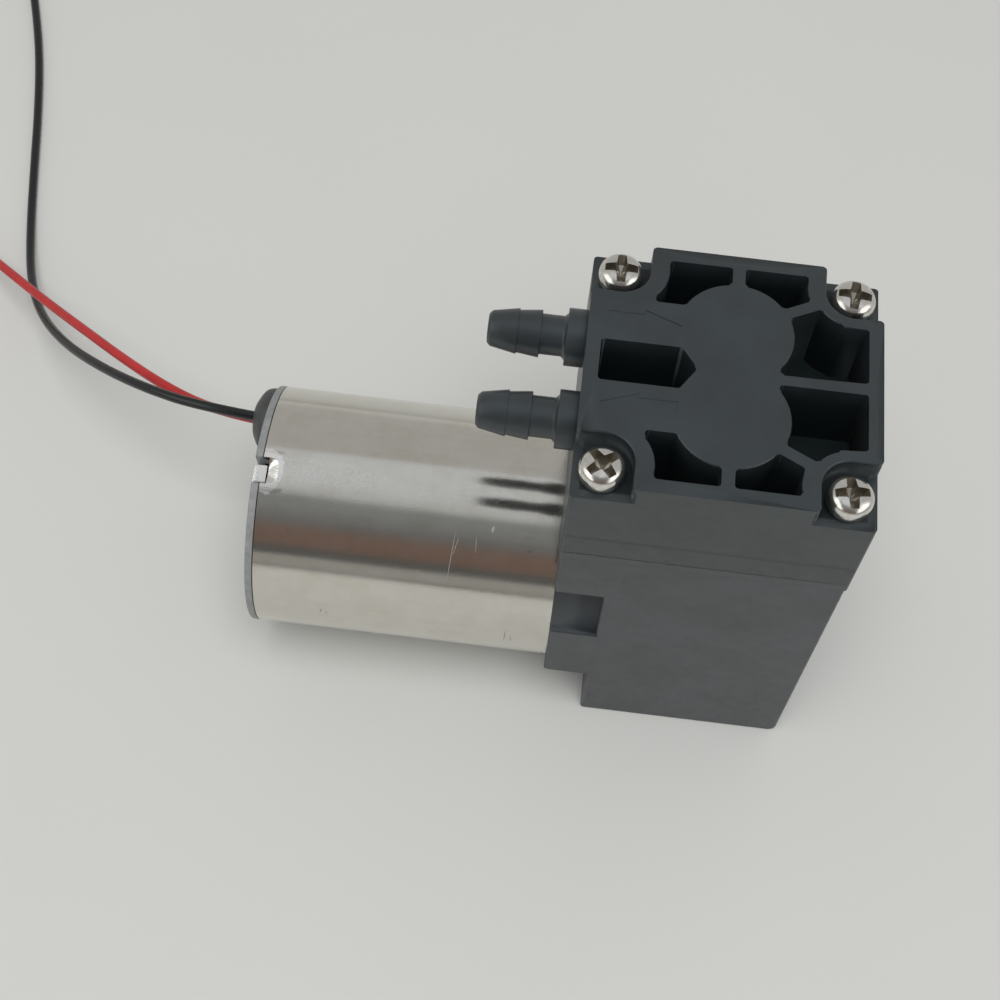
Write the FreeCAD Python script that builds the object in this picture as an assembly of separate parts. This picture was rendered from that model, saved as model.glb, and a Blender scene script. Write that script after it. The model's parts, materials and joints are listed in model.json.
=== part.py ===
import FreeCAD, Part
import math
import os

V = FreeCAD.Vector

# Brushless diaphragm vacuum pump, millimetres.
# X runs along the motor axis with the motor towards -X, Z is up, and the origin is on the
# crankcase's base plane below the middle of the head.

# Head and crankcase outline
cover_half_x = 14.93
cover_half_y = 14.52
case_inset = 0.16
base_z = 0.0
lip_z = 39.9
lip_chamfer = 0.14
case_top_z = 41.3
valve_plate_thick = 3.5
cover_height = 10.85
corner_round = 0.4
seat_drop = 2.7
cover_wall = 1.5
cover_roof = 1.8
rib_half = 0.65
cover_corner_round = 0.5
pocket_round = 0.4
pocket_screw_wall = 2.7
far_pocket_screw_wall = 2.15
pocket_side_inset = 4.05
left_pocket_step_inset = 2.4
left_pocket_foot_inset = 3.6
left_pocket_web = 2.95
near_pocket_step_inset = 1.5
near_pocket_root_inset = 1.65
near_pocket_root_rise = 3.3
far_pocket_inset = 2.6
far_pocket_rise = 1.5
far_pocket_peak_inset = (3.15, 2.42)
far_pocket_shoulder_inset = (1.15, 4.5)
middle_pocket_half = 2.45
middle_pocket_shoulder_x = 5.3
middle_pocket_point_x = 3.7
arrow_land_half = 2.65
arrow_inset = 5.73
arrow_half_long = 3.8
arrow_half_wide = 0.95
arrow_head_half = 1.45
arrow_deep = 0.07

# Cover screws
screw_inset_x = 2.88
screw_inset_y = 2.82
screw_r = 1.25
screw_hole_play = 0.2
screw_head_r = 2.3
screw_head_tall = 2.4
screw_grip = 6.6
screw_hole_spare = 0.2
screw_thread_bite = 0.02
notch_gap_x = 3.05
notch_gap_y = 3.2
notch_round = 3.0
cross_wide = 0.75
cross_long = 2.9
cross_deep = 1.1
cross_turns_deg = [14.0, 40.0, -4.0, 4.0]

# Valve chambers and nozzles
chamber_side = 3.57
chamber_wall = 1.45
chamber_split_half = 0.5
chamber_roof = 1.7
nozzle_rise = 6.65
nozzle_bore_r = 1.3
nozzle_neck_r = 2.1
nozzle_collar_r = 3.0
nozzle_collar_long = 1.95
nozzle_neck_long = 2.65
nozzle_barb_r = 2.47
nozzle_tip_barb_r = 2.37
nozzle_barb_root_r = 2.2
nozzle_barb_long = 2.35
nozzle_tip_long = 3.1
nozzle_tip_r = 1.85
nozzle_tip_round = 0.35
nozzle_root_slope = 0.35
nozzle_root_deep = 1.0

# Valves
flap_thick = 0.5
flap_side = 1.7
flap_neck_half = 1.3
flap_hinge_side = 1.5
flap_clip_long = 1.0
flap_clip_gap = 0.16
flap_lift = 0.02
flap_pocket_side = 0.1
flap_pocket_deep = 1.75
port_share = 0.214
port_ring_share = 0.482
port_count = 5
peg_r = 0.4
peg_long = 0.8
gasket_thick = 0.6
gasket_inner_side = 0.2
gasket_outer_side = 0.05
dish_deep = 0.8

# Diaphragm and its clamp
bead_margin = 2.02
bead_wide = 1.2
bead_tall = 1.2
dish_rim = 2.0
membrane_thick = 0.8
membrane_free = 3.9
membrane_hub_thick = 1.0
membrane_step = 0.3
membrane_hole_play = 0.3
throat_ledge = 0.4
clamp_inset = 0.5
clamp_thick = 1.4
clamp_top_gap = 0.35
clamp_screw_r = 1.25
clamp_screw_head_r = 2.4
clamp_screw_head_tall = 0.9
clamp_screw_long = 6.0
clamp_screw_hole_spare = 0.3
clamp_hole_play = 0.1
rod_table_inset = 1.0
rod_table_thick = 1.7
soft_gap = 0.03

# Crank
stroke = 2.6
motor_axis_z = 17.06
shaft_r = 1.5
rod_half_wide = 2.5
rod_ring_r = 6.2
rod_neck_half = 2.6
pin_r = 1.5
pin_shoulder_r = 2.3
pin_reach = 3.2
pin_shaft_gap = 0.2
pin_end_long = 0.9
rod_bearing_half = 2.0
rod_bearing_outer_r = 4.0
rod_bearing_lip = 0.7
hub_r = 5.2
hub_front_gap = 0.3
hub_long = 6.0
shaft_in_hub = 5.0
weight_r = 8.4
weight_long = 3.6
weight_half_angle_deg = 62.0
grub_r = 1.0
grub_long = 2.6
grub_back = 1.6
grub_socket_r = 0.5
grub_socket_deep = 1.0
clip_r = 2.4
clip_thick = 0.5
clip_groove_deep = 0.35
clip_gap_half = 0.9

# Crankcase
case_wall = 1.65
deck_thick = 5.6
box_left_x = -9.47
box_left_wall = 1.9
collar_left_x = -14.7
collar_over = 0.35
collar_wall = 1.8
collar_floor = 2.3
collar_step = 1.0
collar_web_half = 6.0
block_inset = 0.05
block_rise = 0.14
tab_low_z = 10.55
tab_high_z = 21.2
tab_deep = 3.0
tab_round = 0.7
foot_round = 1.1
throat_foot = 1.0
post_r = 2.6
post_foot_z = 33.3
motor_screw_circle_r = 8.0
motor_screw_r = 1.25
motor_screw_head_r = 2.25
motor_screw_head_tall = 1.3
motor_screw_long = 5.2
motor_screw_slot_half = 0.3
motor_screw_slot_long = 3.0
motor_screw_slot_deep = 0.5
motor_screw_hole_play = 0.15
end_cover_thick = 1.6
end_cover_proud = 0.11
end_cover_top_z = 34.2
end_cover_foot_z = 1.3
end_cover_side_land = 1.3
end_plug_land = 1.5
end_plug_deep = 1.2
end_plug_wall = 1.2
end_fit = 0.05
edge_round = 0.3

# Motor
can_r = 14.0
can_wall = 0.8
motor_long = 35.05
can_front_wall = 2.0
can_edge_round = 0.5
boss_r = 5.0
boss_long = 1.5
boss_fit = 0.05
boss_lip = 0.5
cap_flange = 0.85
cap_seam = 0.12
cap_spigot_wall = 1.15
cap_spigot_long = 4.6
cap_hub_over = 1.5
cap_hub_wall = 1.55
cap_edge_round = 0.25
cap_notch_deep = 2.4
notch_half_deg = 6.3
notch_mid_deg = -13.4
notch_deep = 0.9
notch_lip_long = 1.05
notch_lip_sink = 0.45
notch_tab_wall = 0.6
notch_tab_sink = 0.35
notch_tab_inset = 0.08
notch_tab_long = 1.3
notch_tab_half_deg = 3.7
notch_tab_gap_deg = 0.4
notch_bridge = 0.3
shaft_gap = 0.5
bearing_r = 4.0
bearing_wide = 3.0
race_outer_wall = 0.75
race_inner_wall = 0.65
race_play = 0.02
race_groove_deep = 0.25
ball_count = 7
stator_rear_gap = 3.1
stator_front_gap = 5.3
stator_yoke = 1.75
stator_fit = 0.05
tooth_count = 6
tooth_half = 1.6
shoe_thick = 0.9
shoe_half_deg = 24.0
air_gap = 0.4
magnet_share = 0.4563
magnet_wall = 2.2
core_end = 0.5
winding_thick = 1.7
winding_gap = 0.05
winding_round = 0.8
winding_outer_gap = 0.3
winding_inner_gap = 0.2
board_thick = 1.2
board_hole_r = 3.4
board_edge_gap = 0.1
chip_wide = 4.2
chip_deep_share = 0.35
chip_thick = 1.1
chip_shift = 0.25
capacitor_share = 0.158
capacitor_long = 2.8
capacitor_shift = 0.15
resistor_long = 1.6
resistor_wide = 1.0
resistor_thick = 0.8
resistor_drop_share = 0.323
resistor_shares = (-0.533, 0.3, 0.492)
sensor_thick = 0.9
sensor_wide = 2.6
sensor_tall = 1.2
sensor_rise = 4.4
sensor_y = 2.0
shaft_tail = 0.95
shaft_tail_gap = 0.3

# Leads
lead_r = 0.6
lead_start_gap = 0.06
tip_r = 0.42
tip_long = 4.0
tip_inset = 0.55
tip_lean = 0.6
grommet_inset = 4.383
grommet_turn_deg = 56.29
grommet_r = 4.1
grommet_tall = 2.6
grommet_neck_r = 2.0
coil_pitch = 1.35
coil_play = 0.12

# Values worked out from the ones above
case_half_y = cover_half_y - case_inset
case_right_x = cover_half_x - case_inset
case_left_x = -cover_half_x + block_inset
block_under_z = motor_axis_z + can_r + collar_over + block_rise
collar_r = can_r + collar_over
plate_top_z = case_top_z + valve_plate_thick
cover_top_z = plate_top_z + cover_height
seat_z = cover_top_z - seat_drop
screw_x = cover_half_x - screw_inset_x
screw_y = cover_half_y - screw_inset_y
screw_hole_r = screw_r + screw_hole_play
nozzle_z = plate_top_z + nozzle_rise
chamber_r = (cover_half_y - chamber_side - chamber_wall - chamber_split_half) / 2
chamber_y = chamber_r + chamber_split_half
chamber_land_r = chamber_r + chamber_wall
flap_r = chamber_r - flap_side
flap_hinge_x = chamber_r - flap_hinge_side
bead_outer_r = min(cover_half_x, cover_half_y) - bead_margin
bead_inner_r = bead_outer_r - bead_wide
dish_r = bead_outer_r - dish_rim
case_throat_r = bead_inner_r - throat_ledge
membrane_hub_r = case_throat_r - membrane_free
clamp_r = membrane_hub_r - clamp_inset
rod_table_r = membrane_hub_r - rod_table_inset
throw = stroke / 2
pin_z = motor_axis_z - throw
dish_z = case_top_z + dish_deep
clamp_top_z = dish_z - clamp_top_gap - stroke
clamp_under_z = clamp_top_z - clamp_thick
rod_table_z = clamp_under_z - membrane_hub_thick - 2 * soft_gap
hub_front_x = -rod_half_wide - hub_front_gap
hub_back_x = hub_front_x - hub_long
inner_right_x = case_right_x - case_wall
inner_half_y = case_half_y - case_wall
inner_left_x = box_left_x + box_left_wall
motor_rear_x = collar_left_x - motor_long
cap_face_x = motor_rear_x + cap_flange
bearing_front_x = collar_left_x + boss_long - boss_lip
bearing_rear_x = cap_face_x + cap_hub_wall + bearing_wide
spigot_x = cap_face_x + cap_spigot_long
cap_hub_r = bearing_r + cap_hub_over
grommet_y = (can_r - grommet_inset) * math.sin(math.radians(grommet_turn_deg))
grommet_z = motor_axis_z + (can_r - grommet_inset) * math.cos(math.radians(grommet_turn_deg))
stator_x1 = collar_left_x - can_front_wall - stator_front_gap
stator_x0 = spigot_x + board_thick + stator_rear_gap
stator_r = can_r - can_wall - stator_fit
magnet_r = magnet_share * stator_r
rotor_core_r = magnet_r - magnet_wall
stator_bore_r = magnet_r + air_gap

os.makedirs("parts", exist_ok=True)


def box(x0, x1, y0, y1, z0, z1):
    return Part.makeBox(x1 - x0, y1 - y0, z1 - z0, V(x0, y0, z0))


def rod_x(radius, x0, x1, y=0.0, z=motor_axis_z):
    return Part.makeCylinder(radius, x1 - x0, V(x0, y, z), V(1, 0, 0))


def ring_x(outer, inner, x0, x1, y=0.0, z=motor_axis_z):
    return rod_x(outer, x0, x1, y, z).cut(rod_x(inner, x0 - 1, x1 + 1, y, z))


def rod_z(radius, x, y, z0, z1):
    return Part.makeCylinder(radius, z1 - z0, V(x, y, z0), V(0, 0, 1))


def fuse(first, *others):
    return first.fuse(list(others)).removeSplitter() if others else first


def upright_rounded(shape, radius):
    """Rounds every upright edge of a prism."""
    tall = shape.BoundBox.ZLength / 2
    return shape.makeFillet(radius, [e for e in shape.Edges if e.BoundBox.ZLength > tall])


def rounded_box(x0, x1, y0, y1, z0, z1, radius):
    return upright_rounded(box(x0, x1, y0, y1, z0, z1), radius)


def turned(points, centre, axis):
    """A solid of revolution from (distance along axis, radius) points."""
    start = V(*centre)
    if axis == "x":
        nodes = [V(start.x + a, start.y, start.z + r) for a, r in points]
        direction = V(1, 0, 0)
    else:
        nodes = [V(start.x + r, start.y, start.z + a) for a, r in points]
        direction = V(0, 0, 1)
    face = Part.Face(Part.makePolygon(nodes + [nodes[0]]))
    return face.revolve(start, direction, 360)


def save(node, *solids):
    shape = solids[0] if len(solids) == 1 else Part.makeCompound(list(solids))
    shape.exportStep("parts/" + node + ".step")


def corners():
    """The four screw places: front left, front right, back left, back right."""
    return [(sx * screw_x, sy * screw_y) for sy in (-1, 1) for sx in (-1, 1)]


def flat_face(points, z):
    return Part.Face(Part.makePolygon([V(x, y, z) for x, y in points + points[:1]]))


def disc(radius, x, y, z):
    return Part.Face(Part.Wire([Part.makeCircle(radius, V(x, y, z))]))


def round_corners(face, radius):
    """Rounds a flat face's outward corners by moving its rim in and out again."""
    return face.makeOffset2D(-radius).makeOffset2D(radius)


# Head cover


def nozzle(side):
    """A barbed nozzle that points away from the cover towards the motor."""
    y = side * chamber_y
    face = -cover_half_x
    collar = face - nozzle_collar_long
    neck = collar - nozzle_neck_long
    barb = neck - nozzle_barb_long
    tip = barb - nozzle_tip_long
    outline = [
        (face + nozzle_root_deep, 0.0),
        (face + nozzle_root_deep, nozzle_collar_r),
        (collar, nozzle_collar_r),
        (collar, nozzle_neck_r + nozzle_root_slope),
        (collar - nozzle_root_slope, nozzle_neck_r),
        (neck, nozzle_neck_r),
        (neck, nozzle_barb_r),
        (barb, nozzle_barb_root_r),
        (barb, nozzle_tip_barb_r),
        (tip + nozzle_tip_round, nozzle_tip_r),
        (tip, nozzle_tip_r - nozzle_tip_round),
        (tip, 0.0),
    ]
    return turned(outline, (0.0, y, nozzle_z), "x"), tip


def pocket_outlines():
    """Corners of the three pockets on the side y > 0, each with its wall around the screw."""
    edge_x = cover_half_x - cover_wall
    edge_y = cover_half_y - cover_wall
    side_x = screw_x - pocket_side_inset
    land_y = chamber_y + arrow_land_half
    left = [
        (-rib_half, chamber_y), (-rib_half, edge_y), (-side_x, edge_y),
        (-side_x, screw_y - left_pocket_step_inset), (left_pocket_foot_inset - screw_x, land_y),
        (left_pocket_web - chamber_land_r, land_y),
    ]
    near = [
        (rib_half, chamber_y), (rib_half, edge_y), (side_x, edge_y),
        (side_x, screw_y - near_pocket_step_inset),
        (chamber_land_r - near_pocket_root_inset, chamber_y + near_pocket_root_rise),
    ]
    far_left_x = chamber_land_r - far_pocket_inset
    shoulder_y = screw_y - far_pocket_shoulder_inset[1]
    far = [
        (far_left_x, rib_half), (far_left_x, chamber_y + far_pocket_rise),
        (screw_x - far_pocket_peak_inset[0], screw_y - far_pocket_peak_inset[1]),
        (screw_x - far_pocket_shoulder_inset[0], shoulder_y), (edge_x, shoulder_y), (edge_x, rib_half),
    ]
    return [(left, pocket_screw_wall), (near, pocket_screw_wall), (far, far_pocket_screw_wall)]


def cover_pockets():
    """The cored-out pockets around the two valve chambers, as one list of cutting prisms."""
    floor = plate_top_z + cover_roof
    edge_x = cover_half_x - cover_wall
    faces = []
    for side in (-1, 1):
        land = disc(chamber_land_r, 0, side * chamber_y, floor)
        for outline, wall in pocket_outlines():
            boss_r = screw_head_r + wall
            bosses = [disc(boss_r, sx * screw_x, side * screw_y, floor) for sx in (-1, 1)]
            open_face = flat_face([(x, side * y) for x, y in outline], floor).cut([land] + bosses)
            faces.append(max(open_face.Faces, key=lambda face: face.Area))
    house = [
        (-edge_x, -middle_pocket_half), (-edge_x, middle_pocket_half),
        (-middle_pocket_shoulder_x, middle_pocket_half), (-middle_pocket_point_x, 0.0),
        (-middle_pocket_shoulder_x, -middle_pocket_half),
    ]
    faces.append(flat_face(house, floor))
    deep = V(0, 0, cover_top_z + 1 - floor)
    return [round_corners(face, pocket_round).extrude(deep) for face in faces]


def flow_arrow(side):
    """A faint sunk arrow on the land beside a nozzle, in at the back and out at the front."""
    y = side * chamber_y
    mid = arrow_inset - cover_half_x
    back = mid - side * arrow_half_long
    front = mid + side * arrow_half_long
    points = [
        (back, y - arrow_half_wide), (mid, y - arrow_half_wide), (mid, y - arrow_head_half), (front, y),
        (mid, y + arrow_head_half), (mid, y + arrow_half_wide), (back, y + arrow_half_wide),
    ]
    return flat_face(points, cover_top_z - arrow_deep).extrude(V(0, 0, 1))


def edges_at(shape, x, y):
    """The upright edges that stand at a place."""
    ends = [(e, e.Vertexes[0], e.Vertexes[-1]) for e in shape.Edges]
    return [
        e for e, a, b in ends
        if a.Z != b.Z and max(abs(a.X - x), abs(b.X - x), abs(a.Y - y), abs(b.Y - y)) < 1e-6
    ]


def make_head_cover():
    body = rounded_box(
        -cover_half_x, cover_half_x, -cover_half_y, cover_half_y, plate_top_z, cover_top_z, corner_round
    )
    notches = []
    holes = []
    rims = []
    for x, y in corners():
        sx = math.copysign(1, x)
        sy = math.copysign(1, y)
        inner_x = x - sx * notch_gap_x
        inner_y = y - sy * notch_gap_y
        xs = sorted((inner_x, sx * (cover_half_x + 1)))
        ys = sorted((inner_y, sy * (cover_half_y + 1)))
        notch = box(xs[0], xs[1], ys[0], ys[1], seat_z, cover_top_z + 1)
        notches.append(notch.makeFillet(notch_round, edges_at(notch, inner_x, inner_y)))
        holes.append(rod_z(screw_hole_r, x, y, plate_top_z - 1, seat_z + 1))
        rims += [(inner_x, sy * cover_half_y), (sx * cover_half_x, inner_y)]
    body = body.cut(notches)
    body = body.makeFillet(cover_corner_round, [e for x, y in rims for e in edges_at(body, x, y)])
    body = body.cut(holes).cut(cover_pockets())
    chamber_top = cover_top_z - chamber_roof
    chambers = [rod_z(chamber_r, 0, s * chamber_y, plate_top_z - 1, chamber_top) for s in (-1, 1)]
    nozzles = [nozzle(s) for s in (-1, 1)]
    body = body.fuse([n[0] for n in nozzles])
    bores = [
        rod_x(nozzle_bore_r, tip - 1, 0, side * chamber_y, nozzle_z)
        for (_, tip), side in zip(nozzles, (-1, 1))
    ]
    arrows = [flow_arrow(s) for s in (-1, 1)]
    return body.cut(chambers + bores + arrows).removeSplitter()


def make_head_gasket():
    z1 = plate_top_z
    z0 = z1 - gasket_thick
    outer_r = chamber_land_r - gasket_outer_side
    inner_r = chamber_r + gasket_inner_side
    outer = [rod_z(outer_r, 0, s * chamber_y, z0, z1) for s in (-1, 1)]
    inner = [rod_z(inner_r, 0, s * chamber_y, z0 - 1, z1 + 1) for s in (-1, 1)]
    return outer[0].fuse(outer[1]).cut(inner).removeSplitter()


# Valve plate with its two rubber flaps


def ports(y, z0, z1):
    ring_r = port_ring_share * flap_r
    turns = [2 * math.pi * i / port_count for i in range(port_count)]
    places = [(ring_r * math.cos(turn), y + ring_r * math.sin(turn)) for turn in turns]
    return [rod_z(port_share * flap_r, *place, z0, z1) for place in places]


def clip_peg_x():
    return flap_hinge_x + flap_clip_gap + flap_clip_long / 2


def make_valve_plate():
    plate = rounded_box(
        -cover_half_x, cover_half_x, -cover_half_y, cover_half_y, case_top_z, plate_top_z, corner_round
    )
    low = case_top_z - 1
    tools = [rod_z(screw_hole_r, x, y, low, plate_top_z + 1) for x, y in corners()]
    tools.append(rod_z(dish_r, 0, 0, low, dish_z))
    pocket_r = chamber_r - flap_pocket_side
    tools.append(rod_z(pocket_r, 0, chamber_y, low, dish_z + flap_pocket_deep))
    for side in (-1, 1):
        tools += ports(side * chamber_y, low, plate_top_z + 1)
    inlet_seat = dish_z + flap_pocket_deep
    tools.append(rod_z(peg_r, clip_peg_x(), chamber_y, inlet_seat - 0.1, inlet_seat + peg_long))
    tools.append(rod_z(peg_r, clip_peg_x(), -chamber_y, plate_top_z - peg_long, plate_top_z + 0.1))
    return plate.cut(tools).cut(make_head_gasket())


def flap(y, z0):
    disc = rod_z(flap_r, 0, y, z0, z0 + flap_thick)
    neck = box(0, flap_hinge_x, y - flap_neck_half, y + flap_neck_half, z0, z0 + flap_thick)
    return fuse(disc, neck)


def flap_clip(y, z0, peg_z0, peg_z1):
    x0 = flap_hinge_x + flap_clip_gap
    pad = box(x0, x0 + flap_clip_long, y - flap_neck_half, y + flap_neck_half, z0, z0 + flap_thick)
    return fuse(pad, rod_z(peg_r, clip_peg_x(), y, peg_z0, peg_z1))


def save_valves():
    seat = dish_z + flap_pocket_deep
    under = seat - flap_thick
    top = plate_top_z
    save("valve_plate", make_valve_plate())
    save("inlet_flap", flap(chamber_y, under - flap_lift))
    save("outlet_flap", flap(-chamber_y, top + flap_lift))
    save("inlet_flap_clip", flap_clip(chamber_y, under, under, seat + peg_long))
    save("outlet_flap_clip", flap_clip(-chamber_y, top, top - peg_long, top + flap_thick))


# Fasteners


def cross_recess(x, y, top, turn_deg):
    arms = []
    for extra in (0, 90):
        arm = box(-cross_long / 2, cross_long / 2, -cross_wide / 2, cross_wide / 2, -cross_deep, 1)
        arm.rotate(V(0, 0, 0), V(0, 0, 1), turn_deg + extra)
        arm.translate(V(x, y, top))
        arms.append(arm)
    return arms


def pan_screw(x, y, under, radius, length, head_r, head_tall, turn_deg):
    """An upright pan head screw whose head rests at the height under."""
    profile = [(0.0, 0.93), (0.2, 1.0), (0.6, 1.0), (0.78, 0.93), (0.93, 0.72), (1.0, 0.45), (1.0, 0.0)]
    outline = [(-length, 0.0), (-length, radius - 0.3), (-length + 0.5, radius), (0.0, radius)]
    outline += [(tall_share * head_tall, r_share * head_r) for tall_share, r_share in profile]
    body = turned(outline, (x, y, under), "z")
    return body.cut(cross_recess(x, y, under + head_tall, turn_deg))


def make_cover_screws():
    length = seat_z - case_top_z + screw_grip
    return [
        pan_screw(x, y, seat_z, screw_r, length, screw_head_r, screw_head_tall, turn)
        for (x, y), turn in zip(corners(), cross_turns_deg)
    ]


def motor_screw_places():
    return [(s * motor_screw_circle_r, motor_axis_z) for s in (-1, 1)]


def make_motor_screws():
    under = collar_left_x + collar_floor
    top = under + motor_screw_head_tall
    half_long = motor_screw_slot_long / 2
    half_wide = motor_screw_slot_half
    screws = []
    for y, z in motor_screw_places():
        shank = rod_x(motor_screw_r, under - motor_screw_long, under, y, z)
        head = rod_x(motor_screw_head_r, under, top, y, z)
        head = head.makeFillet(edge_round, [e for e in head.Edges if e.BoundBox.XMin > top - 0.01])
        slots = [
            box(top - motor_screw_slot_deep, top + 1, y - a, y + a, z - b, z + b)
            for a, b in ((half_wide, half_long), (half_long, half_wide))
        ]
        screws.append(fuse(shank, head).cut(slots))
    return screws


# Crankcase


def below_top_and_sharp(edge):
    """True for the box's upright and lower edges, but not for the borders of its rounded foot."""
    low = edge.BoundBox.ZMin < case_top_z - 0.01
    border = edge.BoundBox.YLength > case_half_y and edge.BoundBox.XMin > box_left_x + 1
    return low and not border


def make_crankcase():
    half = case_half_y
    main = box(box_left_x, case_right_x, -half, half, base_z, case_top_z)
    low = [e for e in main.Edges if e.BoundBox.ZMax < base_z + 0.01]
    foot = [e for e in low if e.BoundBox.XMin > case_right_x - 0.01]
    main = main.makeFillet(foot_round, foot)
    main = main.makeFillet(corner_round, [e for e in main.Edges if below_top_and_sharp(e)])
    block = rounded_box(case_left_x, 0, -half, half, block_under_z, case_top_z, corner_round)
    inside_x = box_left_x + box_left_wall / 2
    sleeve = rod_x(collar_r, collar_left_x, inside_x)
    collar_top_z = motor_axis_z + collar_r
    web = box(
        collar_left_x, inside_x, -collar_web_half, collar_web_half,
        collar_top_z - collar_wall, block_under_z + 1,
    )
    lip = rounded_box(
        -cover_half_x, cover_half_x, -cover_half_y, cover_half_y, lip_z, case_top_z, corner_round
    )
    lip = lip.makeChamfer(lip_chamfer, [e for e in lip.Edges if e.BoundBox.ZMax < lip_z + 0.01])
    body = fuse(main, block, sleeve, web, lip, *[collar_tab(side, inside_x) for side in (-1, 1)])

    deck_z = case_top_z - deck_thick
    cavity = box(inner_left_x, inner_right_x, -inner_half_y, inner_half_y, base_z + case_wall, deck_z)
    throat = rod_z(case_throat_r, 0, 0, deck_z - throat_foot, case_top_z + 1)
    bead = rod_z(bead_outer_r, 0, 0, case_top_z - bead_tall, case_top_z + 1)
    body = body.cut([cavity, throat, bead])
    posts = [rod_z(post_r, x, y, post_foot_z, deck_z + 0.5) for x, y in corners()]
    keep = rounded_box(box_left_x, case_right_x, -half, half, base_z, case_top_z, corner_round)
    body = body.fuse([post.common(keep) for post in posts])
    screw_foot_z = case_top_z - screw_grip - screw_hole_spare
    tools = [rod_z(screw_r + screw_thread_bite, x, y, screw_foot_z, case_top_z + 1) for x, y in corners()]
    floor_x = collar_left_x + collar_floor
    room_r = collar_r - collar_wall
    tools.append(rod_x(room_r, floor_x, box_left_x))
    tools.append(rod_x(room_r - collar_step, box_left_x - 1, inner_left_x + 1))
    tools.append(rod_x(boss_r + boss_fit, collar_left_x - 1, box_left_x))
    hole_r = motor_screw_r + motor_screw_hole_play
    for y, z in motor_screw_places():
        tools.append(rod_x(hole_r, collar_left_x - 1, floor_x + 1, y, z))
    tools += end_cover_room()
    return body.cut(tools).removeSplitter()


def collar_tab(side, inside_x):
    """A flat ear on the side of the collar."""
    ys = sorted((side * case_half_y, side * (case_half_y - tab_deep)))
    tab = box(collar_left_x, inside_x, ys[0], ys[1], tab_low_z, tab_high_z)
    front = [e for e in tab.Edges if e.BoundBox.XMax < collar_left_x + 0.01]
    return tab.makeFillet(tab_round, [e for e in front if e.BoundBox.ZMax < tab_low_z + 0.01])


def end_cover_sizes():
    half = case_half_y - end_cover_side_land
    return half, half - end_plug_land, case_right_x + end_cover_proud - end_cover_thick


def end_cover_room():
    """The rebate and the opening on the side away from the motor."""
    half, plug_half, back_x = end_cover_sizes()
    rebate = box(
        back_x, case_right_x + 1, -half - end_fit, half + end_fit,
        end_cover_foot_z - end_fit, end_cover_top_z + end_fit,
    )
    opening = box(
        back_x - end_plug_deep - 1, case_right_x, -plug_half - end_fit, plug_half + end_fit,
        end_cover_foot_z + end_plug_land - end_fit, end_cover_top_z - end_plug_land + end_fit,
    )
    return [rebate, opening]


def make_end_cover():
    half, plug_half, back_x = end_cover_sizes()
    face_x = case_right_x + end_cover_proud
    plate = box(back_x, face_x, -half, half, end_cover_foot_z, end_cover_top_z)
    rim = [e for e in plate.Edges if abs(e.CenterOfMass.x - face_x) < 0.01]
    plate = plate.makeFillet(edge_round, rim)
    low = end_cover_foot_z + end_plug_land
    high = end_cover_top_z - end_plug_land
    plug = box(back_x - end_plug_deep, back_x + 0.2, -plug_half, plug_half, low, high)
    wall = end_plug_wall
    hollow = box(
        back_x - end_plug_deep - 1, back_x, -plug_half + wall, plug_half - wall, low + wall, high - wall
    )
    return fuse(plate, plug.cut(hollow))


# Diaphragm, clamp and connecting rod


def make_diaphragm():
    top = case_top_z
    hub_top = clamp_under_z - soft_gap
    hub_low = hub_top - membrane_hub_thick
    bead_low = top - bead_tall
    hole_r = clamp_screw_r + membrane_hole_play
    outline = [
        (top, bead_inner_r), (top, bead_outer_r), (bead_low, bead_outer_r),
        (bead_low, case_throat_r - soft_gap), (hub_low, membrane_hub_r), (hub_low, hole_r),
        (hub_top, hole_r), (hub_top, membrane_hub_r - membrane_step),
        (bead_low + membrane_thick, bead_inner_r - membrane_step),
    ]
    return turned(outline, (0, 0, 0), "z")


def make_clamp_plate():
    plate = rod_z(clamp_r, 0, 0, clamp_under_z, clamp_top_z)
    plate = plate.makeFillet(edge_round, [e for e in plate.Edges if e.BoundBox.ZMin > clamp_top_z - 0.01])
    hole = rod_z(clamp_screw_r + clamp_hole_play, 0, 0, clamp_under_z - 1, clamp_top_z + 1)
    return plate.cut([hole, clamp_screw_cone(clamp_hole_play)])


def clamp_screw_cone(play):
    """The clamp screw's countersunk head, or the sink that it sits in."""
    foot = V(0, 0, clamp_top_z - clamp_screw_head_tall)
    return Part.makeCone(clamp_screw_r + play, clamp_screw_head_r + play, clamp_screw_head_tall, foot)


def make_clamp_screw():
    low = clamp_top_z - clamp_screw_long
    shank = rod_z(clamp_screw_r, 0, 0, low, clamp_top_z - clamp_screw_head_tall)
    return fuse(clamp_screw_cone(0.0), shank).cut(cross_recess(0, 0, clamp_top_z, 45.0))


def make_connecting_rod():
    table = rod_z(rod_table_r, 0, 0, rod_table_z - rod_table_thick, rod_table_z)
    neck = box(-rod_half_wide, rod_half_wide, -rod_neck_half, rod_neck_half, pin_z, rod_table_z - 0.2)
    ring = rod_x(rod_ring_r, -rod_half_wide, rod_half_wide, 0, pin_z)
    seat = rod_x(rod_bearing_outer_r, -rod_bearing_half, rod_half_wide + 1, 0, pin_z)
    eye = rod_x(rod_bearing_outer_r - rod_bearing_lip, -rod_half_wide - 1, 0, 0, pin_z)
    thread_foot_z = clamp_top_z - clamp_screw_long - clamp_screw_hole_spare
    thread = rod_z(clamp_screw_r, 0, 0, thread_foot_z, rod_table_z + 1)
    return fuse(table, neck, ring).cut([seat, eye, thread])


# Ball bearings: two races with a groove, and the balls between them


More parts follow.
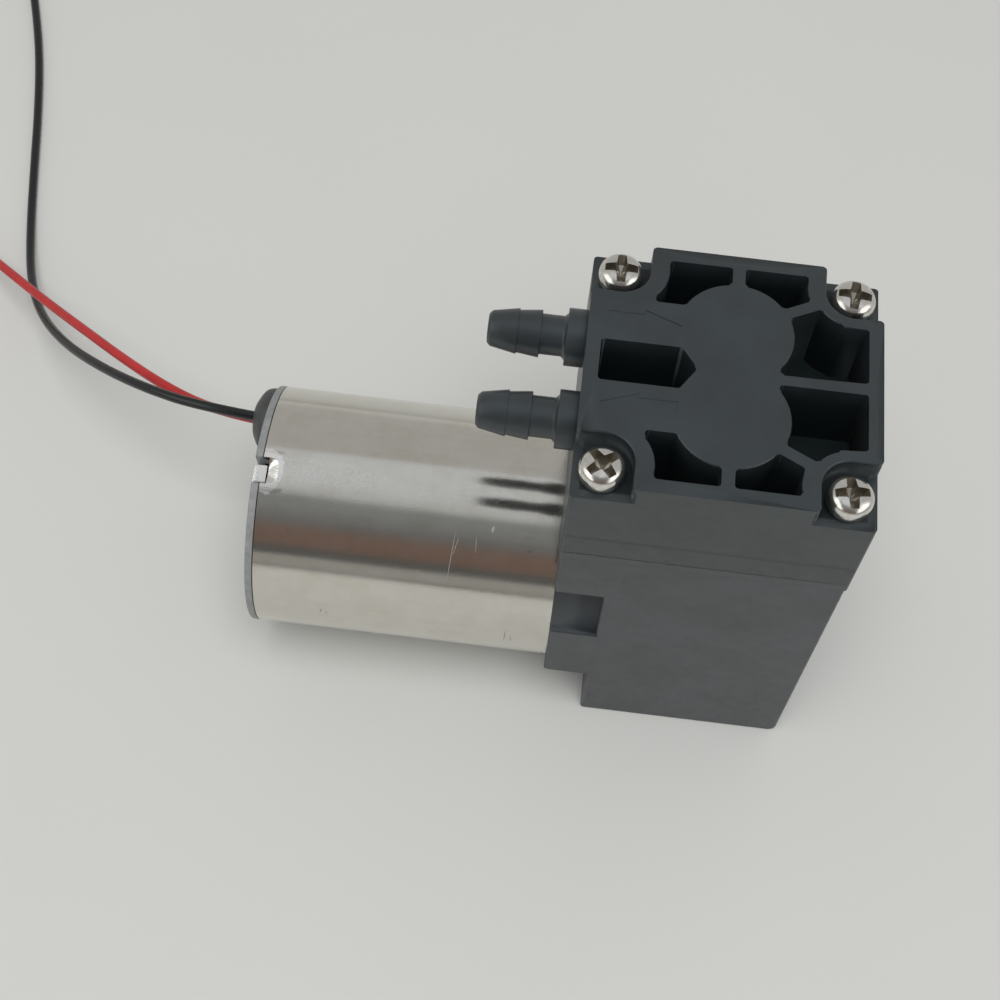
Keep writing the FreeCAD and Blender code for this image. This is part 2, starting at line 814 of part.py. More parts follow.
def bearing(x0, x1, outer_r, inner_r, z):
    """Returns outer race, inner race and balls of a bearing on an axis along X."""
    ball_circle = (outer_r - race_outer_wall + inner_r + race_inner_wall) / 2
    ball_r = (outer_r - race_outer_wall - inner_r - race_inner_wall) / 2 + race_groove_deep
    mid = (x0 + x1) / 2
    groove = Part.makeTorus(ball_circle, ball_r + race_play, V(mid, 0, z), V(1, 0, 0))
    outer = ring_x(outer_r, outer_r - race_outer_wall, x0, x1, 0, z).cut(groove)
    inner = ring_x(inner_r + race_inner_wall, inner_r, x0, x1, 0, z).cut(groove)
    balls = []
    for i in range(ball_count):
        turn = 2 * math.pi * i / ball_count
        place = V(mid, ball_circle * math.sin(turn), z + ball_circle * math.cos(turn))
        balls.append(Part.makeSphere(ball_r, place))
    return outer, inner, balls


def save_bearing(node, x0, x1, outer_r, inner_r, z):
    outer, inner, balls = bearing(x0, x1, outer_r, inner_r, z)
    save(node + "_outer_race", outer)
    save(node + "_inner_race", inner)
    save(node + "_balls", *balls)


# Crank on the motor shaft


def make_eccentric():
    hub = rod_x(hub_r, hub_back_x, hub_front_x)
    weight = rod_x(weight_r, hub_back_x, hub_back_x + weight_long)
    spread = math.radians(weight_half_angle_deg)
    far = 2 * weight_r
    wedge_points = [
        V(hub_back_x - 1, 0, motor_axis_z),
        V(hub_back_x - 1, -far * math.sin(spread), motor_axis_z + far * math.cos(spread)),
        V(hub_back_x - 1, -far, motor_axis_z + far),
        V(hub_back_x - 1, far, motor_axis_z + far),
        V(hub_back_x - 1, far * math.sin(spread), motor_axis_z + far * math.cos(spread)),
    ]
    wedge = Part.Face(Part.makePolygon(wedge_points + wedge_points[:1])).extrude(V(weight_long + 2, 0, 0))
    body = fuse(hub, weight.common(wedge))
    bore = rod_x(shaft_r, hub_back_x - 1, hub_back_x + shaft_in_hub)
    pin_hole = rod_x(pin_r, hub_front_x - pin_reach, hub_front_x + 1, 0, pin_z)
    grub_hole = rod_z(grub_r, grub_x(), 0, motor_axis_z, motor_axis_z + weight_r + 1)
    return body.cut([bore, pin_hole, grub_hole])


def grub_x():
    return hub_back_x + grub_back


def make_grub_screw():
    low = motor_axis_z + shaft_r
    top = low + grub_long
    socket = rod_z(grub_socket_r, grub_x(), 0, top - grub_socket_deep, top + 1)
    return rod_z(grub_r, grub_x(), 0, low, top).cut(socket)


def make_crank_pin():
    back_x = hub_front_x - pin_reach + shaft_clear()
    shank = rod_x(pin_r, back_x, rod_half_wide + pin_end_long, 0, pin_z)
    shoulder = rod_x(pin_shoulder_r, hub_front_x, -rod_bearing_half, 0, pin_z)
    groove_x = rod_bearing_half + clip_thick
    groove = ring_x(pin_r + 1, pin_r - clip_groove_deep, rod_bearing_half, groove_x, 0, pin_z)
    return fuse(shank, shoulder).cut(groove)


def shaft_clear():
    """How far the pin stays in front of the shaft's end inside the hub."""
    return max(0.0, hub_back_x + shaft_in_hub + pin_shaft_gap - (hub_front_x - pin_reach))


def make_pin_retainer():
    x0 = rod_bearing_half
    washer = ring_x(clip_r, pin_r - clip_groove_deep, x0, x0 + clip_thick, 0, pin_z)
    gap = box(x0 - 1, x0 + clip_thick + 1, -clip_gap_half, clip_gap_half, pin_z - clip_r - 1, pin_z)
    return washer.cut(gap)


# Motor


def sector(outer, inner, x0, x1, mid_deg, half_deg):
    """Part of a ring about the motor axis, with angles counted from +Z towards +Y."""
    ring = Part.makeCylinder(outer, x1 - x0, V(x0, 0, motor_axis_z), V(1, 0, 0), 2 * half_deg)
    if inner > 0:
        ring = ring.cut(rod_x(inner, x0 - 1, x1 + 1))
    start = ring.Solids[0].CenterOfMass
    now = math.degrees(math.atan2(start.y, start.z - motor_axis_z))
    ring.rotate(V(0, 0, motor_axis_z), V(1, 0, 0), now - mid_deg)
    return ring


def notch_angles():
    return [notch_mid_deg, notch_mid_deg + 180.0]


def make_motor_can():
    front = collar_left_x
    open_x = cap_face_x + cap_seam
    inner = can_r - can_wall
    can = rod_x(can_r, open_x, front)
    can = can.makeFillet(can_edge_round, [e for e in can.Edges if e.BoundBox.XMin > front - 0.01])
    can = can.cut(rod_x(inner, open_x - 1, front - can_front_wall))
    boss = rod_x(boss_r, front - can_front_wall / 2, front + boss_long)
    can = fuse(can, boss)
    tools = [
        rod_x(bearing_r, front - can_front_wall - 1, bearing_front_x),
        rod_x(shaft_r + shaft_gap, front - can_front_wall, front + boss_long + 1),
    ]
    for y, z in motor_screw_places():
        hole_r = motor_screw_r + screw_thread_bite
        tools.append(rod_x(hole_r, front - can_front_wall - 1, front + 1, y, z))
    tabs = []
    notch_x = cap_face_x + notch_deep
    lip_r = can_r - notch_lip_sink
    tab_r = can_r - notch_tab_sink
    tab_under = tab_r - notch_tab_wall
    tab_x = motor_rear_x + notch_tab_inset
    tab_end_x = tab_x + notch_tab_long
    for angle in notch_angles():
        tools.append(sector(can_r + 1, inner - 1, open_x - 1, notch_x, angle, notch_half_deg))
        lip_end_x = notch_x + notch_lip_long
        tools.append(sector(can_r + 1, lip_r, notch_x - 1, lip_end_x, angle, notch_half_deg))
        tab_angle = angle - notch_half_deg + notch_tab_gap_deg + notch_tab_half_deg
        tabs.append(sector(tab_r, tab_under, tab_x, tab_end_x, tab_angle, notch_tab_half_deg))
        bridge_end_x = notch_x + notch_bridge
        bridge_r = (inner + lip_r) / 2
        tabs.append(sector(bridge_r, tab_under, tab_x, bridge_end_x, tab_angle, notch_tab_half_deg))
    return fuse(can.cut(tools), *tabs)


def make_rear_cap():
    x0 = motor_rear_x
    flange = rod_x(can_r, x0, cap_face_x)
    flange = flange.makeFillet(cap_edge_round, [e for e in flange.Edges if e.BoundBox.XMax < x0 + 0.01])
    inside_x = cap_face_x - cap_flange / 2
    spigot = ring_x(stator_r, stator_r - cap_spigot_wall, inside_x, spigot_x)
    hub = rod_x(cap_hub_r, inside_x, spigot_x)
    body = fuse(flange, spigot, hub)
    tools = [
        rod_x(bearing_r, cap_face_x + cap_hub_wall, spigot_x + 1),
        rod_x(shaft_r + shaft_gap, shaft_tail_x() - shaft_tail_gap, spigot_x + 1),
        rod_x(grommet_neck_r, x0 - 1, cap_face_x + 1, grommet_y, grommet_z),
    ]
    for angle in notch_angles():
        slot = sector(can_r + 1, can_r - cap_notch_deep, x0 - 1, spigot_x + 1, angle, notch_half_deg)
        tools.append(slot)
    return body.cut(tools)


def make_stator_core():
    yoke = ring_x(stator_r, stator_r - stator_yoke, stator_x0, stator_x1)
    parts = []
    for i in range(tooth_count):
        angle = 360.0 * i / tooth_count
        tooth_root_z = motor_axis_z + stator_bore_r + shoe_thick / 2
        tooth_top_z = motor_axis_z + stator_r - stator_yoke / 2
        tooth = box(stator_x0, stator_x1, -tooth_half, tooth_half, tooth_root_z, tooth_top_z)
        tooth.rotate(V(0, 0, motor_axis_z), V(1, 0, 0), -angle)
        shoe = sector(stator_bore_r + shoe_thick, stator_bore_r, stator_x0, stator_x1, angle, shoe_half_deg)
        parts += [tooth, shoe]
    return fuse(yoke, *parts)


def make_windings():
    inner = stator_bore_r + shoe_thick + winding_inner_gap
    outer = stator_r - stator_yoke - winding_outer_gap
    half = tooth_half + winding_gap
    coils = []
    for i in range(tooth_count):
        block = box(
            stator_x0 - winding_thick, stator_x1 + winding_thick,
            -half - winding_thick, half + winding_thick, motor_axis_z + inner, motor_axis_z + outer,
        )
        sides = [e for e in block.Edges if e.BoundBox.ZLength > 1]
        block = block.makeFillet(winding_round, sides)
        room_x = (stator_x0 - winding_gap, stator_x1 + winding_gap)
        block = block.cut(box(room_x[0], room_x[1], -half, half, motor_axis_z, motor_axis_z + can_r))
        block = block.common(rod_x(outer, stator_x0 - 2 * winding_thick, stator_x1 + 2 * winding_thick))
        block.rotate(V(0, 0, motor_axis_z), V(1, 0, 0), -360.0 * i / tooth_count)
        coils.append(block)
    return coils


def shaft_tail_x():
    return cap_face_x + shaft_tail


def save_motor():
    save("motor_can", make_motor_can())
    save("rear_cap", make_rear_cap())
    save("stator_core", make_stator_core())
    save("stator_windings", *make_windings())
    save("rotor_magnet", ring_x(magnet_r, rotor_core_r, stator_x0, stator_x1))
    save("rotor_core", ring_x(rotor_core_r, shaft_r, stator_x0 - core_end, stator_x1 + core_end))
    save("motor_shaft", rod_x(shaft_r, shaft_tail_x(), hub_back_x + shaft_in_hub))
    for node, x1 in (("front_bearing", bearing_front_x), ("rear_bearing", bearing_rear_x)):
        save_bearing(node, x1 - bearing_wide, x1, bearing_r, shaft_r, motor_axis_z)


def save_driver():
    """The round driver board against the cap's spigot, with what is soldered on it."""
    back = spigot_x
    front = back + board_thick
    save("driver_board", ring_x(stator_r - board_edge_gap, board_hole_r, back, front))
    axis = motor_axis_z
    room_r = stator_r - cap_spigot_wall
    room = room_r - cap_hub_r
    middle_r = cap_hub_r + room / 2
    half_deep = chip_deep_share * room_r / 2
    half_wide = chip_wide / 2
    chip_y = chip_shift - middle_r
    chip = box(
        back - chip_thick, back, chip_y - half_deep, chip_y + half_deep, axis - half_wide, axis + half_wide
    )
    store_z = axis - middle_r - capacitor_shift
    store = rod_x(capacitor_share * room_r, back - capacitor_long, back, 0.0, store_z)
    low = axis - cap_hub_r - resistor_drop_share * room
    small = []
    for share in resistor_shares:
        y = share * room_r
        small.append(box(back - resistor_thick, back, y, y + resistor_long, low, low + resistor_wide))
    sensors = []
    for y in (-sensor_y, sensor_y):
        half = sensor_wide / 2
        under = axis + sensor_rise
        sensors.append(box(front, front + sensor_thick, y - half, y + half, under, under + sensor_tall))
    save("driver_parts", chip, store, *small, *sensors)


# Leads


def lead_exit(name):
    """Where the middle of a lead leaves the grommet, a hair off its top because the lead leans."""
    shift = black_exit_shift if name == "black" else red_exit_shift
    return V(motor_rear_x - grommet_tall - lead_start_gap, grommet_y + shift[0], grommet_z + shift[1])


BLACK_ROUTE = [
    (-60.83, 8.58, 23.4), (-66.47, 11.54, 21.24), (-72.16, 15.65, 16.31), (-78.23, 21.63, 10.4),
    (-85.01, 27.91, 4.93), (-90.69, 36.06, 1.76), (-93.8, 46.57, 0.61), (-96.25, 58.8, 0.61),
    (-98.84, 71.85, 0.61), (-101.84, 84.69, 0.61), (-106.36, 96.12, 0.61),
]
RED_ROUTE = [
    (-59.28, 9.14, 22.0), (-67.75, 15.37, 17.95), (-74.52, 21.08, 13.57), (-80.15, 26.72, 9.64),
    (-86.03, 31.52, 6.39), (-91.96, 36.45, 3.96), (-97.92, 41.69, 1.94),
]
black_exit_shift = (0.05, 0.68)
red_exit_shift = (0.52, -0.77)
black_coil_entry = (-108.6, 103.0, 0.61)
red_coil_entry = (-107.0, 47.8, 0.61)
black_turns = 1.55
red_turns = 2.65
black_coil_r = 8.0
red_coil_r = 8.75


def flat(v):
    return V(v[0], v[1], 0)


def coil_centre(before, entry, radius, side):
    """The coil lies to the right (side 1) or left (side -1) of the lead that runs into it."""
    way = (flat(entry) - flat(before)).normalize()
    normal = V(way.y, -way.x, 0) * side
    return flat(entry) + normal * radius


def route_wire(points):
    """Straight runs joined by tangent arcs, each as large as its two runs allow."""
    edges = []
    radii = []
    here = points[0]
    for a, b, c in zip(points, points[1:], points[2:]):
        u = (b - a).normalize()
        w = (c - b).normalize()
        turn = math.acos(max(-1.0, min(1.0, u.dot(w))))
        cut = 0.45 * min((b - a).Length, (c - b).Length)
        radius = cut / math.tan(turn / 2)
        radii.append(radius)
        first = b - u * cut
        last = b + w * cut
        inward = (w - u).normalize()
        middle = b + inward * (radius / math.cos(turn / 2) - radius)
        edges.append(Part.LineSegment(here, first).toShape())
        edges.append(Part.Arc(first, middle, last).toShape())
        here = last
    edges.append(Part.LineSegment(here, points[-1]).toShape())
    return Part.Wire(edges), radii


def tube(points, radius, name):
    wire, radii = route_wire(points)
    start = (points[1] - points[0]).normalize()
    section = Part.Wire([Part.makeCircle(radius, points[0], start)])
    solid = wire.makePipeShell([section], True, False)
    expected = math.pi * radius ** 2 * wire.Length
    print(name, "length", round(wire.Length, 1), "volume share", round(solid.Volume / expected, 4),
          "least radius", round(min(radii), 1))
    return solid


def save_lead(name, route, entry, turns, outer_r, side):
    """The laid lead, its flat spiral coil and its bare end."""
    before = V(*route[-1])
    entry = V(*entry)
    centre = coil_centre(before, entry, outer_r, side)
    way = (entry - before).normalize()
    shell_r = outer_r + lead_r + coil_play
    reach = math.sqrt(shell_r ** 2 - (outer_r - lead_r) ** 2)
    stop = entry - way * (reach + 0.05)
    points = [lead_exit(name)] + [V(*p) for p in route] + [stop]
    save(name + "_lead", tube(points, lead_r, name))
    end_r = outer_r - coil_pitch * turns
    hole_r = end_r - lead_r - coil_play
    top = 2 * lead_r + coil_play
    ring = rod_z(shell_r, centre.x, centre.y, 0, top).cut(rod_z(hole_r, centre.x, centre.y, -1, top + 1))
    save(name + "_coil", ring)
    begin = math.atan2(entry.y - centre.y, entry.x - centre.x)
    finish = begin - side * 2 * math.pi * turns
    out = V(math.cos(finish), math.sin(finish), 0)
    along = V(math.sin(finish), -math.cos(finish), 0) * side
    start = centre + out * (hole_r - tip_inset) + V(0, 0, lead_r)
    aim = (along - out * tip_lean).normalize()
    bare = Part.makeCylinder(tip_r, tip_long, start, aim)
    save(name + "_tip", bare)
    coil_length = 2 * math.pi * turns * (outer_r + end_r) / 2
    middle = [round(c, 2) for c in centre]
    print(name, "coil", round(coil_length, 1), "centre", middle, "end radius", round(end_r, 2))


def save_grommet():
    x0 = motor_rear_x
    profile = [(0.0, 1.0), (0.38, 0.96), (0.56, 0.9), (0.71, 0.78), (0.865, 0.61), (1.0, 0.42), (1.0, 0.0)]
    outline = [(cap_flange, 0.0), (cap_flange, grommet_neck_r), (0.0, grommet_neck_r)]
    outline += [(-tall_share * grommet_tall, r_share * grommet_r) for tall_share, r_share in profile]
    save("lead_grommet", turned(outline, (x0, grommet_y, grommet_z), "x"))
    tails = []
    for name in ("black", "red"):
        place = lead_exit(name)
        tails.append(rod_x(lead_r, cap_face_x, spigot_x, place.y, place.z))
    save("inner_lead_ends", *tails)


save("head_cover", make_head_cover())
save("head_gasket", make_head_gasket())
save_valves()
save("cover_screws", *make_cover_screws())
save("motor_screws", *make_motor_screws())
save("crankcase", make_crankcase())
save("end_cover", make_end_cover())
save("diaphragm", make_diaphragm())
save("clamp_plate", make_clamp_plate())
save("clamp_screw", make_clamp_screw())
save("connecting_rod", make_connecting_rod())
save_bearing("rod_bearing", -rod_bearing_half, rod_bearing_half, rod_bearing_outer_r, pin_r, pin_z)
save("eccentric", make_eccentric())
save("grub_screw", make_grub_screw())
save("crank_pin", make_crank_pin())
save("pin_retainer", make_pin_retainer())
save_motor()
save_driver()
save_grommet()
save_lead("black", BLACK_ROUTE, black_coil_entry, black_turns, black_coil_r, 1)
save_lead("red", RED_ROUTE, red_coil_entry, red_turns, red_coil_r, -1)
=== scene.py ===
import json
import math

import bmesh
import bpy
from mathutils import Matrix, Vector


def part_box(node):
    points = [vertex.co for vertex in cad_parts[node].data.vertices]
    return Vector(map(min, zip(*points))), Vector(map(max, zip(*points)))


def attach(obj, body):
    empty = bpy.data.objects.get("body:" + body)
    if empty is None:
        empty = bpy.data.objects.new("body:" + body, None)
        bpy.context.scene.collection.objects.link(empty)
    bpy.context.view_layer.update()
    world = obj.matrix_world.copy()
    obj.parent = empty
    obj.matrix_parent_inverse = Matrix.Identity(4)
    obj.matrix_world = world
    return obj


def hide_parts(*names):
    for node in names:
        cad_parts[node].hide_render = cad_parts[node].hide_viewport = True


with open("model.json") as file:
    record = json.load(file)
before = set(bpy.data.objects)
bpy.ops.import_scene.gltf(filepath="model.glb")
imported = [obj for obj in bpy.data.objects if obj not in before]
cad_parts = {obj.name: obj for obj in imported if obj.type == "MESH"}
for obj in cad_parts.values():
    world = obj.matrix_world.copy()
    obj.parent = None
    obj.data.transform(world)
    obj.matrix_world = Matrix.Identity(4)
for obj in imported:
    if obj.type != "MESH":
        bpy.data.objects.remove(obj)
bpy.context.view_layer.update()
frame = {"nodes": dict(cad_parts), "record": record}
nodes = frame["nodes"]

MM = 0.001

# Camera, solved from the photograph's edges
FOCAL_PX = 1671.23
FRAME_PX = 1000
SENSOR_MM = 36.0
CAMERA_PLACE = (-0.018386, -0.093572, 0.193480)
CAMERA_TURN_DEG = (28.8856, -2.3373, 6.4831)

# Sizes that the frame gives
cover_low, cover_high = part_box("head_cover")
plate_low, plate_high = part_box("valve_plate")
can_low, can_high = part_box("motor_can")
cap_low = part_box("rear_cap")[0]
grommet_low, grommet_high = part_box("lead_grommet")
screws_low, screws_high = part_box("cover_screws")
cover_left_x = plate_low.x
can_radius = (can_high.y - can_low.y) / 2
axis_z = (can_high.z + can_low.z) / 2

# Edges and roundings
SOFT_EDGE = 0.22 * MM
FINE_EDGE = 0.08 * MM
EDGE_STEPS = 3
SHARP_DEG = 35.0
FLAT_DEG = 0.4
SAME_POINT = 1e-7

# Seams round the housing, each darkened with painted shade: height in millimetres, half width and
# how dark
CASE_LIP_Z = 39.9
SEAM_SHADES = (
    (plate_high.z / MM, 0.4, 1.0),
    (plate_low.z / MM, 0.24, 1.0),
    (CASE_LIP_Z, 0.26, 0.8),
)

# Nozzles, with their outside from the collar to the first barb: how far out of the cover and how
# wide, in millimetres
NOZZLE_Y = 5.0 * MM
NOZZLE_Z = 51.45 * MM
NOZZLE_DEEP = 0.6 * MM
NOZZLE_COLLAR_R = 3.0 * MM
NOZZLE_SHAPE = (
    (1.95, 3.0), (1.95, 2.45), (2.3, 2.1), (4.6, 2.1), (4.6, 2.47), (6.95, 2.2), (6.95, 2.37),
)
NOZZLE_NOSE_LONG = 0.35 * MM
NOZZLE_NOSE_R = 1.85 * MM
NOZZLE_TIP_R = 1.5 * MM
NOZZLE_BORE_R = 1.3 * MM
NOZZLE_BORE_DEEP = 0.3 * MM
NOZZLE_CUT = 0.02 * MM
ROUND_SIDES = 96

# Cover screws. The head's shape is how high and how wide, as shares of its height and radius.
SCREW_R = 2.3 * MM
SCREW_TALL = 2.4 * MM
SCREW_SHAPE = (
    (0.0, 0.93), (0.2, 1.0), (0.58, 1.0), (0.78, 0.93), (0.93, 0.74), (1.0, 0.45), (1.0, 0.0),
)
SCREW_SHANK_R = 1.2 * MM
SCREW_SHANK_LONG = 3.0 * MM
SCREW_SIDES = 72
SCREW_CUTS = (0.35 * MM, 0.12 * MM)
SCREW_SHARP_DEG = 26.0
SCREW_TURNS_DEG = (40.0, 1.0, 8.0, -4.0)

# The cross in each screw: half its length, half an arm's width and its depth, then the shares of
# length and width at its mouth and at its foot
RECESS_LONG = 1.86 * MM
RECESS_HALF = 0.53 * MM
RECESS_DEEP = 1.25 * MM
RECESS_MOUTH = (1.06, 1.08)
RECESS_FOOT = (0.62, 0.6)
RECESS_ABOVE = 0.3 * MM
RECESS_POINT = 1.35
RECESS_END = 0.86
RECESS_ROOT = 1.25
RECESS_SKIN = 0.12 * MM
RECESS_LOWEST = 0.2 * MM

# Can, and the two notches in its open end
CAP_FLANGE = 0.85 * MM
CAP_SEAM = 0.12 * MM
CAN_WALL = 0.8 * MM
CAN_REAR_X = cap_low.x + CAP_FLANGE + CAP_SEAM
NOTCH_MIDDLES_DEG = (-13.4, 166.6)
NOTCH_HALF_DEG = 6.3
NOTCH_LONG = 0.66 * MM
NOTCH_COLUMNS = 20
PLAIN_COLUMNS = 70
COLUMN_NUDGE_DEG = 0.05
LIP_LONG = 1.2 * MM
LIP_DEEP = 0.6 * MM
LIP_END_CURVE = 2.4
LIP_SIDE_CURVE = 5
LIP_FALL = 1.3
RIM_WIDE = 1.0 * MM
RIM_HIGH = 0.03 * MM
RIM_LEVEL = 0.45
TAB_INSET = 0.08 * MM
TAB_SINK = 0.35 * MM
TAB_WALL = 0.6 * MM
TAB_LONG = 1.4 * MM
TAB_HALF_DEG = 4.3
TAB_OFF_DEG = -1.6
TAB_COLUMNS = 8
TAB_EDGE = 0.05 * MM
TAB_EDGE_STEPS = 2
TAB_SHARP_DEG = 30.0

# Marks on the can: middle along it and round it, half length and half width in millimetres, turn
CAN_SCRATCHES = (
    ((-26.6, -10.4), 3.4, 0.035, 86.0), ((-26.2, -9.2), 1.3, 0.03, 78.0),
    ((-24.0, -8.8), 1.1, 0.03, 93.0), ((-22.3, -6.9), 0.42, 0.16, 80.0),
    ((-31.4, -4.6), 0.7, 0.03, 84.0),
)
CAN_SCUFFS = (
    ((-19.7, -21.4), 1.5, 0.06, 88.0), ((-19.0, -21.9), 0.9, 0.05, 95.0),
    ((-41.0, -20.6), 0.6, 0.06, 80.0), ((-40.4, -21.0), 0.4, 0.06, 85.0),
    ((-28.1, -22.6), 0.14, 0.12, 0.0), ((-18.0, -8.9), 0.25, 0.06, 5.0),
)

# Lead dome: how far out and how wide, as shares of its height and of its foot
GROMMET_FOOT = 0.25 * MM
GROMMET_CUTS = (0.5 * MM, 0.15 * MM)
GROMMET_SHARP_DEG = 60.0
GROMMET_SHAPE = (
    (0.0, 1.0), (0.38, 0.96), (0.56, 0.90), (0.71, 0.78), (0.865, 0.61), (1.0, 0.42), (1.0, 0.0),
)

# Surroundings
SKY_LIGHT = (0.47, 0.47, 0.47)
BACKDROP = (0.62, 0.62, 0.60)
WALL = (0.46, 0.455, 0.45)
CEILING = (0.62, 0.64, 0.67)
FLOOR_WIDE = 4.0
FLOOR_DARK = (0.638, 0.641, 0.617)
FLOOR_LIGHT = (0.650, 0.652, 0.629)
FLOOR_FADE_MM = (280.0, 800.0)
LAMP_PLACE = (0.0, -0.22, 0.75)
LAMP_AIM = (-0.02, 0.0, 0.02)
LAMP_WIDE = 0.5
LAMP_POWER = 3.4

# What the metal mirrors on its far and near side: height above the horizon in degrees, and colour
FAR_SIDE = (
    (0, (0.60, 0.60, 0.58)), (3, (0.57, 0.565, 0.55)), (9, (0.47, 0.465, 0.455)), (40, WALL),
    (60, WALL), (64, CEILING), (90, CEILING),
)
NEAR_SIDE = (
    (0, (0.16, 0.16, 0.16)), (1.5, (0.33, 0.325, 0.31)), (11, (0.36, 0.355, 0.34)),
    (14, (0.11, 0.11, 0.11)), (21, (0.11, 0.105, 0.10)), (24, (0.18, 0.125, 0.105)),
    (38, (0.19, 0.135, 0.115)), (46, (0.17, 0.165, 0.165)), (62, (0.24, 0.25, 0.255)),
    (69, (0.26, 0.27, 0.28)), (73, (0.50, 0.51, 0.52)), (90, CEILING),
)
NEAR_FROM_Y = (0.02, -0.10)

# Two light panels to the left and right, and the parts of a direction between which they begin
PANELS = (1.5, 1.5, 1.48)
PANELS_FROM_X = (0.46, 0.54)
PANELS_FROM_Y = (0.2, 0.0)
PANELS_FROM_Z = (0.25, 0.35)

# Leads, with their routes in millimetres
LEAD_R = 0.6 * MM
LEAD_DEEP = 0.3
TIP_R = 0.42 * MM
TIP_LONG = 4.0 * MM
TIP_HIDDEN = 0.3 * MM
TIP_SIDES = 42
TIP_STEPS = 40
TIP_TWISTS = 1.1
TIP_LOBE = 0.12
TIP_TAPER = 0.35
TIP_TAPER_FROM = 0.93
COIL_PITCH = 1.35 * MM
COIL_STEPS = 20
BLACK_ROUTE = [
    (-59.43, 8.7, 22.95), (-66.79, 11.71, 20.6), (-74.1, 16.53, 16.44), (-81.05, 22.64, 11.29),
    (-86.97, 29.88, 6.24), (-91.29, 38.32, 2.43), (-94.08, 47.93, 0.62), (-96.2, 58.36, 0.61),
    (-98.35, 69.53, 0.61), (-100.97, 80.89, 0.61), (-104.53, 92.02, 0.61),
]
RED_ROUTE = [
    (-57.96, 9.45, 21.17), (-64.21, 12.67, 19.57), (-70.88, 17.5, 16.99), (-77.87, 23.26, 13.78),
    (-85.12, 29.31, 10.25), (-92.35, 35.62, 6.83), (-99.58, 41.9, 3.64),
]
BLACK_EXIT_SHIFT = (0.05, 0.68)
RED_EXIT_SHIFT = (0.52, -0.77)
BLACK_COIL = {"entry": (-108.6, 103.0, 0.61), "turns": 1.55, "radius": 8.0, "side": 1}
RED_COIL = {"entry": (-107.0, 47.8, 0.61), "turns": 2.65, "radius": 8.75, "side": -1}


class Nodes:
    """Adds and joins shader nodes in one tree."""

    def __init__(self, tree):
        self.tree = tree

    def node(self, kind, inputs=None, **settings):
        made = self.tree.nodes.new("ShaderNode" + kind)
        for key, value in settings.items():
            setattr(made, key, value)
        for key, value in (inputs or {}).items():
            self.feed(made.inputs[key], value)
        return made

    def feed(self, socket, value):
        if isinstance(value, bpy.types.NodeSocket):
            self.tree.links.new(value, socket)
        else:
            socket.default_value = value

    def span(self, value, low, high, to_low=0.0, to_high=1.0, **settings):
        """Maps low to to_low and high to to_high, and stays level beyond them."""
        if low > high:
            low, high, to_low, to_high = high, low, to_high, to_low
        inputs = {
            "Value": value, "From Min": low, "From Max": high, "To Min": to_low, "To Max": to_high,
        }
        return self.node("MapRange", inputs, clamp=True, **settings).outputs["Result"]

    def math(self, operation, a, b=0.0):
        made = self.node("Math", operation=operation)
        self.feed(made.inputs[0], a)
        self.feed(made.inputs[1], b)
        return made.outputs["Value"]

    def ramp(self, height, stops):
        """A colour for each height above the horizon, which is given as its sine."""
        made = self.node("ValToRGB", {"Fac": height})
        made.color_ramp.interpolation = "LINEAR"
        items = made.color_ramp.elements
        while len(items) < len(stops):
            items.new(0.5)
        for item, (height_deg, colour) in zip(items, stops):
            item.position = math.sin(math.radians(height_deg))
            item.color = (*colour, 1.0)
        return made.outputs["Color"]

    def mix(self, share, a, b):
        made = self.node("Mix", data_type="RGBA")
        self.feed(made.inputs["Factor"], share)
        for socket, value in ((made.inputs[6], a), (made.inputs[7], b)):
            self.feed(socket, value if isinstance(value, bpy.types.NodeSocket) else (*value, 1.0))
        return made.outputs[2]


